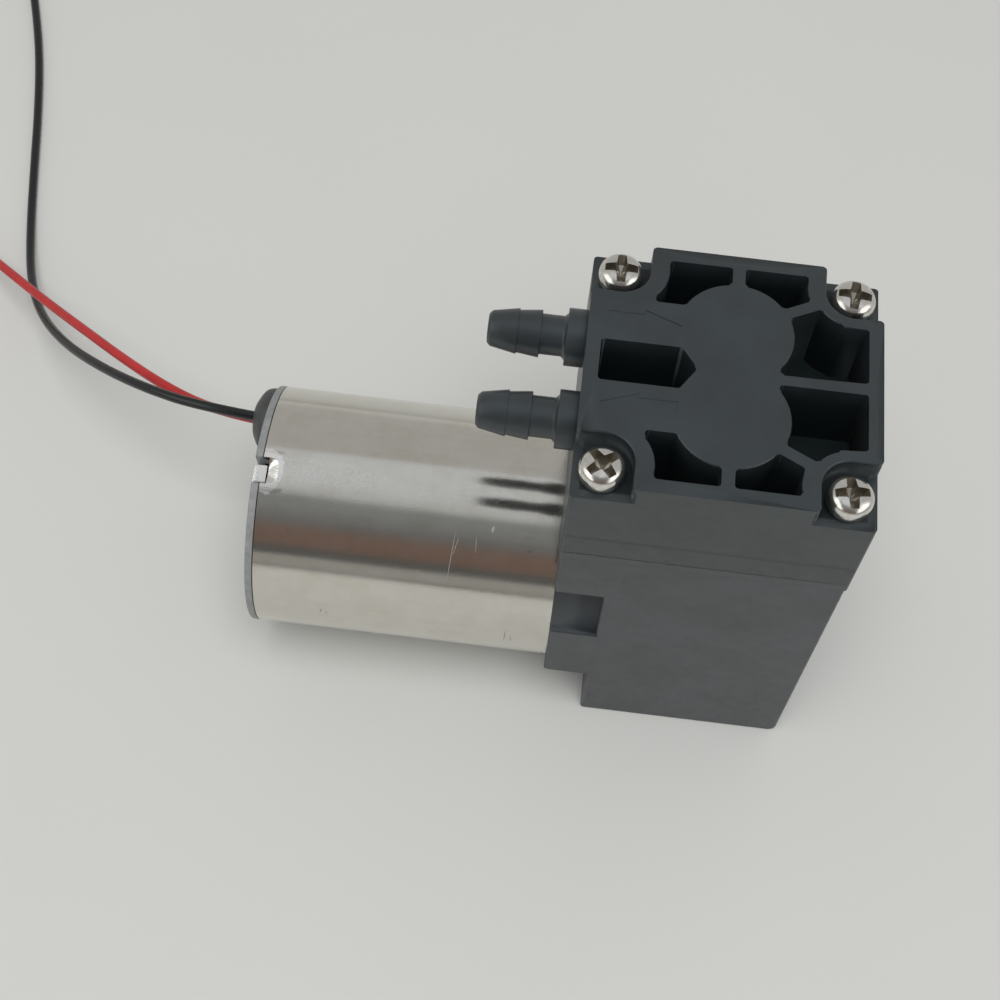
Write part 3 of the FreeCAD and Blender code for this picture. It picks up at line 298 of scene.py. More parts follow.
class Finish(Nodes):
    """A procedural material while it is built. Its patterns are sized in millimetres."""

    def __init__(self, name, **fixed):
        self.material = bpy.data.materials.new(name)
        self.material.use_nodes = True
        super().__init__(self.material.node_tree)
        self.surface = self.tree.nodes["Principled BSDF"]
        for socket, value in fixed.items():
            self.surface.inputs[socket.replace("_", " ")].default_value = value
        self.place = self.node("TexCoord").outputs["Object"]

    def at(self, stretch=(1, 1, 1), middle=(0, 0, 0)):
        """The place in millimetres, about a middle, stretched along each axis."""
        scale = [s / MM for s in stretch]
        shift = [-m * s for m, s in zip(middle, scale)]
        inputs = {"Vector": self.place, "Scale": scale, "Location": shift}
        return self.node("Mapping", inputs).outputs["Vector"]

    def noise(self, size, detail=3.0, rough=0.55, stretch=(1, 1, 1)):
        inputs = {
            "Vector": self.at(stretch), "Scale": 1 / size, "Detail": detail, "Roughness": rough,
        }
        return self.node("TexNoise", inputs).outputs["Fac"]

    def unrolled(self, radius):
        """The place on a tube about the motor axis: along it, and round it from its top."""
        split = self.node("SeparateXYZ", {"Vector": self.at(middle=(0, 0, axis_z))}).outputs
        turn = self.math("ARCTAN2", split["Y"], split["Z"])
        round_it = self.math("MULTIPLY", turn, radius / MM)
        return self.node("CombineXYZ", {"X": split["X"], "Y": round_it}).outputs["Vector"]

    def mark(self, place, middle, half_long, half_wide, turn_deg=0.0):
        """1 inside a long thin patch on an unrolled surface, and 0 outside it."""
        off = self.node("VectorMath", operation="SUBTRACT")
        self.feed(off.inputs[0], place)
        self.feed(off.inputs[1], (*middle, 0.0))
        inputs = {"Vector": off.outputs[0], "Angle": -math.radians(turn_deg)}
        turned = self.node("VectorRotate", inputs, rotation_type="Z_AXIS")
        ratio = self.node("VectorMath", operation="DIVIDE")
        self.feed(ratio.inputs[0], turned.outputs[0])
        self.feed(ratio.inputs[1], (half_long, half_wide, 1.0))
        size = self.node("VectorMath", operation="LENGTH")
        self.feed(size.inputs[0], ratio.outputs[0])
        return self.span(size.outputs["Value"], 1.0, 0.7)

    def any_of(self, shares):
        """The greatest of several shares."""
        whole = shares[0]
        for share in shares[1:]:
            whole = self.math("MAXIMUM", whole, share)
        return whole

    def specks(self, size, share):
        """Sparse dots: 1 in a dot and 0 around it."""
        dots = self.node("TexVoronoi", {"Vector": self.at(), "Scale": 1 / size, "Randomness": 1.0})
        near = self.span(dots.outputs["Distance"], 0.10, 0.04)
        chosen = self.node("SeparateColor", {"Color": dots.outputs["Color"]}).outputs["Red"]
        return self.math("MULTIPLY", near, self.math("LESS_THAN", chosen, share))

    def colour(self, value):
        self.feed(self.surface.inputs["Base Color"], value)

    def roughness(self, value):
        self.feed(self.surface.inputs["Roughness"], value)

    def bump(self, height, deep, strength=1.0):
        """Adds relief whose full height is deep, in millimetres, on top of what is there."""
        inputs = {"Height": height, "Distance": deep * MM, "Strength": strength}
        before = self.surface.inputs["Normal"].links
        if before:
            inputs["Normal"] = before[0].from_socket
        made = self.node("Bump", inputs)
        self.tree.links.new(made.outputs["Normal"], self.surface.inputs["Normal"])


# Materials


def slate_plastic(name, colour, gloss, grain, pockets=False):
    """Satin moulded plastic: fine spark grain, cloudy flow marks and a few specks of dust, with
    painted shade along its seams and, for the cover, deep in its pockets.
    """
    f = Finish(name, IOR=1.6)
    cloud = f.noise(6.0, 4.0)
    fine = f.noise(0.11, 2.0)
    dark = [c * 0.86 for c in colour]
    light = [c * 1.15 for c in colour]
    tint = f.mix(f.span(cloud, 0.35, 0.65), dark, light)
    dust = f.specks(2.2, 0.05)
    rough = f.span(f.noise(1.6, 4.0, 0.7), 0.3, 0.7, gloss - 0.05, gloss + 0.06)
    # Painted shade: the colour darkens towards near black deep in the cover's pockets
    if pockets:
        deep = cover_pocket_shade(f)
        tint = f.mix(deep, tint, (0.006, 0.010, 0.011))
        rough = f.math("ADD", rough, f.math("MULTIPLY", deep, 0.3))
        dust = f.math("MULTIPLY", dust, f.span(deep, 0.0, 0.2, 1.0, 0.0))
    # Painted shade: near black along the seams and the lip
    tint = f.mix(f.math("MULTIPLY", seam_shade_lines(f), 0.85), tint, (0.004, 0.005, 0.006))
    f.colour(f.mix(f.math("MULTIPLY", dust, 0.6), tint, (0.42, 0.43, 0.43)))
    f.roughness(f.math("ADD", rough, f.span(fine, 0.3, 0.7, -0.02, 0.02)))
    f.bump(fine, grain, 0.55)
    f.bump(f.noise(2.4, 3.0), 0.02, 0.35)
    return f.material


def seam_shade_lines(f):
    """Painted shade along the valve plate's two seams and the crankcase's lip, broken in places.
    """
    height = f.node("SeparateXYZ", {"Vector": f.at()}).outputs["Z"]
    broken = f.span(f.noise(1.3, 4.0, 0.7), 0.3, 0.55, 0.45, 1.0)
    lines = []
    for level, half, share in SEAM_SHADES:
        away = f.math("ABSOLUTE", f.math("SUBTRACT", height, level))
        lines.append(f.span(away, half, 0.4 * half, 0.0, share))
    return f.math("MULTIPLY", f.any_of(lines), broken)


def cover_pocket_shade(f):
    """1 deep inside the cover's pockets, and 0 on its top and its outer sides: how much painted
    shade the plastic gets.
    """
    split = f.node("SeparateXYZ", {"Vector": f.at()}).outputs
    deep = f.span(split["Z"], cover_high.z / MM - 0.4, cover_high.z / MM - 2.6)
    for axis, edge in (("X", cover_high.x), ("Y", cover_high.y)):
        inset = f.span(f.math("ABSOLUTE", split[axis]), edge / MM - 0.8, edge / MM - 1.0)
        deep = f.math("MULTIPLY", deep, inset)
    return deep


def can_nickel():
    """Plated deep-drawn steel with stains, scratches and scuffs, and grainy patches by the notch
    whose near-white colour is a painted highlight.
    """
    f = Finish("can_nickel", Metallic=1.0)
    skin = f.unrolled(can_radius)
    streak = f.noise(0.9, 3.0, 0.6, (0.05, 1, 1))
    stain = f.noise(3.2, 5.0, 0.65)
    sand = f.noise(0.2, 2.0, 0.7)
    notch_arc = math.radians(NOTCH_MIDDLES_DEG[0]) * can_radius / MM
    ragged = f.span(f.noise(1.1, 4.0, 0.7), 0.3, 0.7, -0.35, 0.35)
    rim = f.mark(skin, (CAN_REAR_X / MM + 0.5, notch_arc), 2.3, 3.1)
    rim = f.span(f.math("ADD", rim, ragged), 0.4, 0.6)
    # A band where the overhead light is mirrored; it gets grain and a painted highlight
    glint_band = f.mark(skin, (-42.0, notch_arc + 0.4), 9.0, 1.9)
    glint_band = f.math("MULTIPLY", glint_band, f.span(f.noise(0.3, 3.0, 0.8), 0.45, 0.7))
    sand_and_glint = f.math("MAXIMUM", rim, f.math("MULTIPLY", glint_band, 0.45))
    scratches = f.any_of([f.mark(skin, *scratch) for scratch in CAN_SCRATCHES])
    scuffs = f.any_of([f.mark(skin, *scuff) for scuff in CAN_SCUFFS])
    warm = f.mix(f.span(stain, 0.42, 0.62), (0.68, 0.66, 0.60), (0.64, 0.615, 0.545))
    colour = f.mix(f.span(streak, 0.35, 0.7, 0.0, 0.35), warm, (0.71, 0.70, 0.67))
    # Painted highlight: the grainy patches are made near white; their roughness and bumps are real
    # grain
    colour = f.mix(f.math("MULTIPLY", sand_and_glint, 0.85), colour, (0.97, 0.95, 0.92))
    colour = f.mix(f.math("MULTIPLY", scratches, 0.75), colour, (0.98, 0.98, 0.97))
    f.colour(f.mix(f.math("MULTIPLY", scuffs, 0.7), colour, (0.14, 0.11, 0.09)))
    rough = f.span(sand, 0.35, 0.65, 0.085, 0.14)
    rough = f.math("ADD", rough, f.span(streak, 0.35, 0.65, 0.0, 0.04))
    rough = f.math("ADD", rough, f.math("MULTIPLY", sand_and_glint, 0.12))
    f.roughness(f.math("ADD", rough, f.math("MULTIPLY", scratches, 0.4)))
    f.bump(sand, 0.012, 0.32)
    f.bump(streak, 0.02, 0.12)
    f.bump(f.math("MULTIPLY", f.noise(0.17, 1.0, 0.5), sand_and_glint), 0.03, 0.6)
    return f.material


def screw_nickel():
    """Satin plating, with painted shade on the walls of the cross, which are also duller."""
    f = Finish("screw_nickel", Metallic=1.0)
    pit = f.noise(0.5, 4.0, 0.65)
    inside = f.node("Attribute", attribute_name="recess").outputs["Fac"]
    outside = f.mix(f.span(pit, 0.4, 0.65), (0.80, 0.79, 0.75), (0.68, 0.65, 0.60))
    # Painted shade: the cross's walls get a darker, browner colour
    walls = f.mix(f.span(pit, 0.35, 0.7), (0.52, 0.49, 0.43), (0.37, 0.345, 0.295))
    f.colour(f.mix(inside, outside, walls))
    rough = f.span(pit, 0.35, 0.7, 0.16, 0.28)
    f.roughness(f.math("ADD", rough, f.math("MULTIPLY", inside, 0.12)))
    f.bump(f.noise(0.25, 3.0), 0.02, 0.25)
    return f.material


def plain_metal(name, colour, gloss, size, stretch=(1, 1, 1)):
    """Ground or turned metal, with its tool marks along or across."""
    f = Finish(name, Metallic=1.0)
    mark = f.noise(size, 3.0, 0.6, stretch)
    f.colour(f.mix(f.span(mark, 0.35, 0.65), [c * 0.88 for c in colour], colour))
    f.roughness(f.span(mark, 0.35, 0.65, gloss, gloss + 0.12))
    f.bump(mark, 0.01, 0.3)
    return f.material


def dull_cap():
    """The dull grey rim and back of the motor."""
    f = Finish("cap_grey", Metallic=0.15)
    cloud = f.noise(1.1, 4.0, 0.65)
    fine = f.noise(0.16, 2.0)
    f.colour(f.mix(f.span(cloud, 0.35, 0.65), (0.235, 0.246, 0.242), (0.32, 0.327, 0.322)))
    f.roughness(f.span(cloud, 0.3, 0.7, 0.40, 0.52))
    f.bump(fine, 0.02, 0.5)
    return f.material


def soft_plastic(name, colour, gloss, size, deep):
    """Insulation, rubber and other soft skins."""
    f = Finish(name, IOR=1.5)
    cloud = f.noise(size * 8, 3.0)
    f.colour(f.mix(f.span(cloud, 0.35, 0.65), [c * 0.85 for c in colour], colour))
    f.roughness(f.span(f.noise(size * 3, 3.0), 0.3, 0.7, gloss - 0.05, gloss + 0.08))
    f.bump(f.noise(size, 2.0), deep, 0.5)
    return f.material


def stacked_sheets(name, colour):
    """Laminations: thin sheets side by side along the motor axis."""
    f = Finish(name, Metallic=0.8)
    inputs = {"Vector": f.at(), "Scale": 0.9, "Distortion": 0.3}
    wave = f.node("TexWave", inputs, bands_direction="X")
    f.colour(f.mix(wave.outputs["Fac"], [c * 0.55 for c in colour], colour))
    f.roughness(f.span(f.noise(0.6), 0.3, 0.7, 0.35, 0.55))
    f.bump(wave.outputs["Fac"], 0.05, 0.6)
    return f.material


def wound_copper():
    """Enamelled wire in rows."""
    f = Finish("copper", Metallic=1.0)
    inputs = {"Vector": f.at(), "Scale": 1.2, "Distortion": 1.2}
    wave = f.node("TexWave", inputs, bands_direction="Y")
    f.colour(f.mix(wave.outputs["Fac"], (0.36, 0.12, 0.04), (0.80, 0.36, 0.17)))
    f.roughness(f.span(f.noise(0.5), 0.3, 0.7, 0.22, 0.36))
    f.bump(wave.outputs["Fac"], 0.12, 0.8)
    return f.material


def circuit_board():
    """Green lacquer over copper tracks."""
    f = Finish("board", IOR=1.5)
    lines = f.node("TexBrick", {"Vector": f.at(), "Scale": 0.6, "Mortar Size": 0.04})
    track = f.span(lines.outputs["Fac"], 0.2, 0.8)
    f.colour(f.mix(track, (0.012, 0.11, 0.045), (0.03, 0.2, 0.09)))
    f.roughness(f.span(f.noise(0.8), 0.3, 0.7, 0.25, 0.4))
    f.bump(lines.outputs["Fac"], 0.03, 0.5)
    return f.material


finishes = {
    "housing_plastic": slate_plastic("housing_plastic", (0.021, 0.028, 0.031), 0.36, 0.02, True),
    "case_plastic": slate_plastic("case_plastic", (0.038, 0.045, 0.0505), 0.40, 0.024),
    "can_nickel": can_nickel(),
    "screw_nickel": screw_nickel(),
    "steel": plain_metal("steel", (0.58, 0.58, 0.59), 0.16, 0.4),
    "lamination_steel": stacked_sheets("lamination_steel", (0.30, 0.31, 0.33)),
    "copper": wound_copper(),
    "magnet": soft_plastic("magnet", (0.05, 0.05, 0.055), 0.5, 0.3, 0.03),
    "brass": plain_metal("brass", (0.78, 0.60, 0.27), 0.2, 0.5, (3, 1, 1)),
    "clamp_aluminium": plain_metal("clamp_aluminium", (0.75, 0.76, 0.77), 0.25, 0.35),
    "rod_plastic": soft_plastic("rod_plastic", (0.74, 0.73, 0.69), 0.45, 0.3, 0.02),
    "valve_rubber": soft_plastic("valve_rubber", (0.02, 0.02, 0.021), 0.55, 0.2, 0.03),
    "board": circuit_board(),
    "chips": soft_plastic("chips", (0.02, 0.02, 0.022), 0.5, 0.12, 0.02),
    "cap_grey": dull_cap(),
    "grommet_grey": soft_plastic("grommet_grey", (0.054, 0.058, 0.056), 0.48, 0.18, 0.02),
    "lead_black": soft_plastic("lead_black", (0.006, 0.008, 0.008), 0.24, 0.35, 0.015),
    "lead_red": soft_plastic("lead_red", (0.50, 0.022, 0.022), 0.36, 0.35, 0.015),
    "tinned": plain_metal("tinned", (0.72, 0.72, 0.73), 0.26, 0.2),
}
node_slot = {part["node"]: part["material_slot"] for part in frame["record"]["subparts"]}


def dress(piece, finish):
    """Gives a piece its material."""
    piece.data.materials.clear()
    piece.data.materials.append(finishes[finish])


# Mesh helpers


def new_piece(name, bm, sharp_deg=SHARP_DEG):
    """Makes an object of a mesh, smooth but for edges sharper than an angle."""
    mesh = bpy.data.meshes.new(name)
    bm.to_mesh(mesh)
    bm.free()
    mesh.polygons.foreach_set("use_smooth", [True] * len(mesh.polygons))
    mesh.set_sharp_from_angle(angle=math.radians(sharp_deg))
    piece = bpy.data.objects.new(name, mesh)
    bpy.context.scene.collection.objects.link(piece)
    return piece


def baked(piece, sharp_deg=None):
    """Turns the piece's modifiers into its mesh, and marks edges sharper than an angle."""
    bpy.context.view_layer.update()
    depsgraph = bpy.context.evaluated_depsgraph_get()
    seen = piece.evaluated_get(depsgraph)
    mesh = bpy.data.meshes.new_from_object(
        seen, preserve_all_data_layers=True, depsgraph=depsgraph,
    )
    mesh.name = piece.name
    piece.modifiers.clear()
    piece.data = mesh
    if sharp_deg is not None:
        mesh.polygons.foreach_set("use_smooth", [True] * len(mesh.polygons))
        mesh.set_sharp_from_angle(angle=math.radians(sharp_deg))
    return piece


def may_round(edge, width):
    """True for an outward corner between two faces that are wide enough for the rounding."""
    if len(edge.link_faces) != 2 or edge.calc_face_angle_signed(0.0) < math.radians(SHARP_DEG):
        return False
    return all(2 * f.calc_area() / f.calc_perimeter() > 1.2 * width for f in edge.link_faces)


def rounded_copy(node, name, width, cut_left_of=None):
    """A merged copy of a solid with its outward edges rounded off."""
    bm = bmesh.new()
    bm.from_mesh(nodes[node].data)
    bmesh.ops.remove_doubles(bm, verts=bm.verts, dist=SAME_POINT)
    if cut_left_of is not None:
        far = [v for v in bm.verts if v.co.x < cut_left_of]
        bmesh.ops.delete(bm, geom=far, context="VERTS")
        rims = [e for e in bm.edges if e.is_boundary]
        bmesh.ops.holes_fill(bm, edges=rims, sides=0)
    flat = math.radians(FLAT_DEG)
    bmesh.ops.dissolve_limit(bm, angle_limit=flat, verts=bm.verts, edges=bm.edges)
    piece = new_piece(name, bm)
    bm = bmesh.new()
    bm.from_mesh(piece.data)
    weight = bm.edges.layers.float.new("bevel_weight_edge")
    for edge in bm.edges:
        if may_round(edge, width):
            edge[weight] = 1.0
            edge.smooth = True
    bm.to_mesh(piece.data)
    bm.free()
    bevel = piece.modifiers.new("soft edges", "BEVEL")
    bevel.limit_method = "WEIGHT"
    bevel.width = width
    bevel.segments = EDGE_STEPS
    bevel.use_clamp_overlap = False
    bevel.face_strength_mode = "FSTR_ALL"
    normals = piece.modifiers.new("flat sides stay flat", "WEIGHTED_NORMAL")
    normals.keep_sharp = True
    normals.use_face_influence = True
    return baked(piece)


def lathe(bm, outline, centre, steps, along="x"):
    """Turns (along, radius) points about an axis into faces that point outwards."""
    rings = []
    for a, r in outline:
        if r == 0:
            place = Vector(centre)
            place["xz".index(along) * 2] += a
            rings.append([bm.verts.new(place)])
            continue
        ring = []
        for i in range(steps):
            turn = 2 * math.pi * i / steps
            p, q = r * math.cos(turn), r * math.sin(turn)
            offset = Vector((a, p, q)) if along == "x" else Vector((q, p, a))
            ring.append(bm.verts.new(Vector(centre) + offset))
        rings.append(ring)
    for one, two in zip(rings, rings[1:]):
        for i in range(steps):
            j = (i + 1) % steps
            corners = (one[i % len(one)], one[j % len(one)], two[j % len(two)], two[i % len(two)])
            # A ring of one point on the axis gives triangles
            bm.faces.new(dict.fromkeys(corners))
    bmesh.ops.recalc_face_normals(bm, faces=bm.faces)


def softened(outline, cut):
    """Replaces each corner of an outline by three points that round it off."""
    points = [outline[0]]
    for a, b, c in zip(outline, outline[1:], outline[2:]):
        back = Vector(a) - Vector(b)
        on = Vector(c) - Vector(b)
        size = min(cut, 0.4 * back.length, 0.4 * on.length)
        first = Vector(b) + back.normalized() * size
        last = Vector(b) + on.normalized() * size
        middle = (first + last) / 4 + Vector(b) / 2
        points += [tuple(first), tuple(middle), tuple(last)]
    return points + [outline[-1]]


# Head cover with its two nozzles


def nozzle_outline():
    """The outside from inside the cover to the tip, then back down the bore."""
    x = cover_left_x
    tip = cover_low.x
    outline = [(x + NOZZLE_DEEP, 0.0), (x + NOZZLE_DEEP, NOZZLE_COLLAR_R)]
    outline += [(x - out * MM, wide * MM) for out, wide in NOZZLE_SHAPE]
    return outline + [
        (tip + NOZZLE_NOSE_LONG, NOZZLE_NOSE_R), (tip, NOZZLE_TIP_R), (tip, NOZZLE_BORE_R),
        (x + NOZZLE_BORE_DEEP, NOZZLE_BORE_R), (x + NOZZLE_BORE_DEEP, 0.0),
    ]


def make_cover():
    """The cover without the solid's nozzles, and two turned nozzles in their place."""
    cover = rounded_copy("head_cover", "cover_shell", SOFT_EDGE, cover_left_x - NOZZLE_CUT)
    dress(cover, "housing_plastic")
    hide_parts("head_cover")
    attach(cover, "housing")
    for name, side in (("inlet_nozzle", 1), ("outlet_nozzle", -1)):
        bm = bmesh.new()
        outline = softened(nozzle_outline(), FINE_EDGE)
        lathe(bm, outline, (0, side * NOZZLE_Y, NOZZLE_Z), ROUND_SIDES)
        piece = new_piece(name, bm)
        dress(piece, "housing_plastic")
        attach(piece, "housing")


# Valve plate, crankcase and end cover


def make_case():
    """The three mouldings below the cover."""
    for node, name, finish in (
        ("valve_plate", "plate_between", "housing_plastic"),
        ("crankcase", "case_shell", "case_plastic"),
        ("end_cover", "case_end_cover", "case_plastic"),
    ):
        piece = rounded_copy(node, name, FINE_EDGE)
        dress(piece, finish)
        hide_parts(node)
        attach(piece, "housing")


# Cover screws


def screw_mesh():
    """One pan head screw at the origin, its head resting on the plane z = 0."""
    bm = bmesh.new()
    outline = [(-SCREW_SHANK_LONG, 0.0), (-SCREW_SHANK_LONG, SCREW_SHANK_R), (0.0, SCREW_SHANK_R)]
    outline += [(tall * SCREW_TALL, wide * SCREW_R) for tall, wide in SCREW_SHAPE]
    for cut in SCREW_CUTS:
        outline = softened(outline, cut)
    lathe(bm, outline, (0, 0, 0), SCREW_SIDES, "z")
    head = new_piece("screw_head", bm)
    cutter = recess_cutter()
    cut = head.modifiers.new("recess", "BOOLEAN")
    cut.object = cutter
    cut.solver = "EXACT"
    baked(head, SCREW_SHARP_DEG)
    bpy.data.objects.remove(cutter)
    mark_recess(head.data)
    return head


def mark_recess(mesh):
    """Gives each face its share of the recess: 1 on the walls of the cross, where the plating gets
    painted shade, and 0 on the dome.
    """
    share = mesh.attributes.new("recess", "FLOAT", "FACE")
    top = [(wide * SCREW_R, tall * SCREW_TALL) for tall, wide in reversed(SCREW_SHAPE)]
    for face in mesh.polygons:
        radius = math.hypot(face.center.x, face.center.y)
        dome = 0.0
        for (r0, z0), (r1, z1) in zip(top, top[1:]):
            if r0 <= radius <= r1 and r1 > r0:
                dome = z0 + (z1 - z0) * (radius - r0) / (r1 - r0)
        below_skin = RECESS_LOWEST < face.center.z < dome - RECESS_SKIN
        share.data[face.index].value = 1.0 if below_skin and radius < RECESS_LONG else 0.0


def recess_cutter():
    """A cross whose arms narrow downwards, with slanted walls and a pointed bottom."""
    bm = bmesh.new()
    mouth_z = SCREW_TALL + RECESS_ABOVE
    foot_z = SCREW_TALL - RECESS_DEEP
    rings = []
    for z, (long_share, half_share) in ((mouth_z, RECESS_MOUTH), (foot_z, RECESS_FOOT)):
        long = RECESS_LONG * long_share
        half = RECESS_HALF * half_share
        end = half * RECESS_END
        root = half * RECESS_ROOT
        quarter = [(long, -end), (long, end), (root, half), (half, root)]
        ring = []
        for turn in range(4):
            c, s = math.cos(turn * math.pi / 2), math.sin(turn * math.pi / 2)
            ring += [bm.verts.new((x * c - y * s, x * s + y * c, z)) for x, y in quarter]
        rings.append(ring)
    mouth, foot = rings
    count = len(mouth)
    for i in range(count):
        j = (i + 1) % count
        bm.faces.new((mouth[i], mouth[j], foot[j], foot[i]))
    apex = bm.verts.new((0, 0, SCREW_TALL - RECESS_POINT * RECESS_DEEP))
    for i in range(count):
        bm.faces.new((foot[i], foot[(i + 1) % count], apex))
    bm.faces.new(list(reversed(mouth)))
    bmesh.ops.recalc_face_normals(bm, faces=bm.faces)
    return new_piece("recess_cutter", bm)


def screw_places_tree():
    """Puts a copy of the screw at the corners of a grid, each turned by its own angle."""
    tree = bpy.data.node_groups.new("screw places", "GeometryNodeTree")
    tree.interface.new_socket("Geometry", in_out="INPUT", socket_type="NodeSocketGeometry")
    for name in ("Pitch X", "Pitch Y", "Seat Z"):
        tree.interface.new_socket(name, in_out="INPUT", socket_type="NodeSocketFloat")
    tree.interface.new_socket("Finish", in_out="INPUT", socket_type="NodeSocketMaterial")
    tree.interface.new_socket("Geometry", in_out="OUTPUT", socket_type="NodeSocketGeometry")
    add = tree.nodes.new
    link = tree.links.new
    given = add("NodeGroupInput").outputs
    grid = add("GeometryNodeMeshGrid")
    grid.inputs["Vertices X"].default_value = 2
    grid.inputs["Vertices Y"].default_value = 2
    link(given["Pitch X"], grid.inputs["Size X"])
    link(given["Pitch Y"], grid.inputs["Size Y"])
    choose = add("GeometryNodeIndexSwitch")
    choose.data_type = "FLOAT"
    while len(choose.index_switch_items) < len(SCREW_TURNS_DEG):
        choose.index_switch_items.new()
    link(add("GeometryNodeInputIndex").outputs["Index"], choose.inputs["Index"])
    for i, turn in enumerate(SCREW_TURNS_DEG):
        choose.inputs[i + 1].default_value = math.radians(turn)
    turn_vector = add("ShaderNodeCombineXYZ")
    link(choose.outputs[0], turn_vector.inputs["Z"])
    put = add("GeometryNodeInstanceOnPoints")
    link(grid.outputs["Mesh"], put.inputs["Points"])
    link(given["Geometry"], put.inputs["Instance"])
    link(turn_vector.outputs["Vector"], put.inputs["Rotation"])
    lift_vector = add("ShaderNodeCombineXYZ")
    link(given["Seat Z"], lift_vector.inputs["Z"])
    lift = add("GeometryNodeTransform")
    real = add("GeometryNodeRealizeInstances")
    link(put.outputs["Instances"], real.inputs["Geometry"])
    link(real.outputs["Geometry"], lift.inputs["Geometry"])
    link(lift_vector.outputs["Vector"], lift.inputs["Translation"])
    paint = add("GeometryNodeSetMaterial")
    link(lift.outputs["Geometry"], paint.inputs["Geometry"])
    link(given["Finish"], paint.inputs["Material"])
    link(paint.outputs["Geometry"], add("NodeGroupOutput").inputs["Geometry"])
    return tree


def give(modifier, **values):
    """Sets a Geometry Nodes modifier's inputs by their socket's identifier."""
    for item in modifier.node_group.interface.items_tree:
        key = item.name.replace(" ", "_").lower()
        if item.in_out == "INPUT" and key in values:
            modifier[item.identifier] = values[key]


def make_cover_screws():
    """One screw, put in the cover's four corners and made one mesh."""
    screws = screw_mesh()
    screws.name = "head_screws"
    tree = screw_places_tree()
    places = screws.modifiers.new("places", "NODES")
    places.node_group = tree
    give(
        places,
        pitch_x=screws_high.x - screws_low.x - 2 * SCREW_R,
        pitch_y=screws_high.y - screws_low.y - 2 * SCREW_R,
        seat_z=screws_high.z - SCREW_TALL,
        finish=finishes["screw_nickel"],
    )
    baked(screws, SCREW_SHARP_DEG)
    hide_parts("cover_screws")
    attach(screws, "housing")


# Motor can and rear cap


def smooth_step(value, low, high):
    """0 up to low, 1 from high, and a soft S between them."""
    t = max(0.0, min(1.0, (value - low) / (high - low)))
    return t * t * (3 - 2 * t)


def can_turns():
    """The angles of the can's columns: close together about each notch, its edges among them."""
    turns = []
    for middle in NOTCH_MIDDLES_DEG:
        near = range(-2 * NOTCH_COLUMNS, 2 * NOTCH_COLUMNS + 1)
        turns += [middle + NOTCH_HALF_DEG * i / NOTCH_COLUMNS for i in near]
        start = middle + 2 * NOTCH_HALF_DEG
        gap = 180 - 4 * NOTCH_HALF_DEG
        turns += [start + gap * i / PLAIN_COLUMNS for i in range(1, PLAIN_COLUMNS)]
    return turns


def notch_turn(turn_deg):
    """The angle from the middle of the nearer notch."""
    offs = [(turn_deg - middle + 180) % 360 - 180 for middle in NOTCH_MIDDLES_DEG]
    return min(offs, key=abs)


def can_relief(x, turn_deg):
    """How far the wall stands out: less than 0 on the lip, and a little more around it."""
    half = math.radians(NOTCH_HALF_DEG) * can_radius
    arc = abs(math.radians(notch_turn(turn_deg))) * can_radius
    reach = max(0.0, x - CAN_REAR_X - NOTCH_LONG) / LIP_LONG
    edge = math.sqrt(reach ** LIP_END_CURVE + (arc / half) ** LIP_SIDE_CURVE)
    lip = max(0.0, 1 - edge) ** LIP_FALL
    away = math.hypot(max(0.0, arc - half), max(0.0, x - CAN_REAR_X - NOTCH_LONG - LIP_LONG))
    rim = 1 - smooth_step(away, RIM_LEVEL * RIM_WIDE, RIM_WIDE)
    return (RIM_HIGH * rim if edge > 1.0 else RIM_HIGH) - (LIP_DEEP + RIM_HIGH) * lip


def on_can(x, radius, turn_deg):
    """The point at a place along the motor axis, a distance from it and an angle from its top."""
    angle = math.radians(turn_deg)
    return Vector((x, radius * math.sin(angle), axis_z + radius * math.cos(angle)))


def make_can():
    """A thin tube with two notches in its open end, each with a lip pressed in beside it."""
    turns = can_turns()
    notch_end_x = CAN_REAR_X + NOTCH_LONG
    lip_end_x = notch_end_x + LIP_LONG
    rim_end_x = lip_end_x + RIM_WIDE
    stretches = [
        (CAN_REAR_X, NOTCH_LONG, 6), (notch_end_x, LIP_LONG, 10), (lip_end_x, RIM_WIDE, 8),
        (rim_end_x, can_high.x - rim_end_x, 8),
    ]
    rows = [CAN_REAR_X]
    for start, long, count in stretches:
        rows += [start + long * i / count for i in range(1, count + 1)]
    bm = bmesh.new()
    rings = []
    for x in rows:
        rings.append([bm.verts.new(on_can(x, can_radius + can_relief(x, t), t)) for t in turns])
    for i, (one, two) in enumerate(zip(rings, rings[1:])):
        open_row = rows[i] < notch_end_x - SAME_POINT
        for j, turn in enumerate(turns):
            k = (j + 1) % len(turns)
            # Just past its first column, a face is plainly inside the notch or outside it
            if open_row and abs(notch_turn(turn + COLUMN_NUDGE_DEG)) < NOTCH_HALF_DEG:
                continue
            bm.faces.new((one[j], two[j], two[k], one[k]))
    bmesh.ops.recalc_face_normals(bm, faces=bm.faces)
    axis = Vector((0, 0, axis_z))
    if sum(face.normal.dot(face.calc_center_median() - axis) for face in bm.faces) < 0:
        bmesh.ops.reverse_faces(bm, faces=bm.faces)
    can = new_piece("can_shell", bm)
    wall = can.modifiers.new("wall", "SOLIDIFY")
    wall.thickness = CAN_WALL
    wall.offset = -1.0
    baked(can, SHARP_DEG)
    dress(can, "can_nickel")
    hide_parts("motor_can")
    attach(can, "housing")
    for i, middle in enumerate(NOTCH_MIDDLES_DEG):
        make_tab("can_tab_%d" % (i + 1), middle + TAB_OFF_DEG)


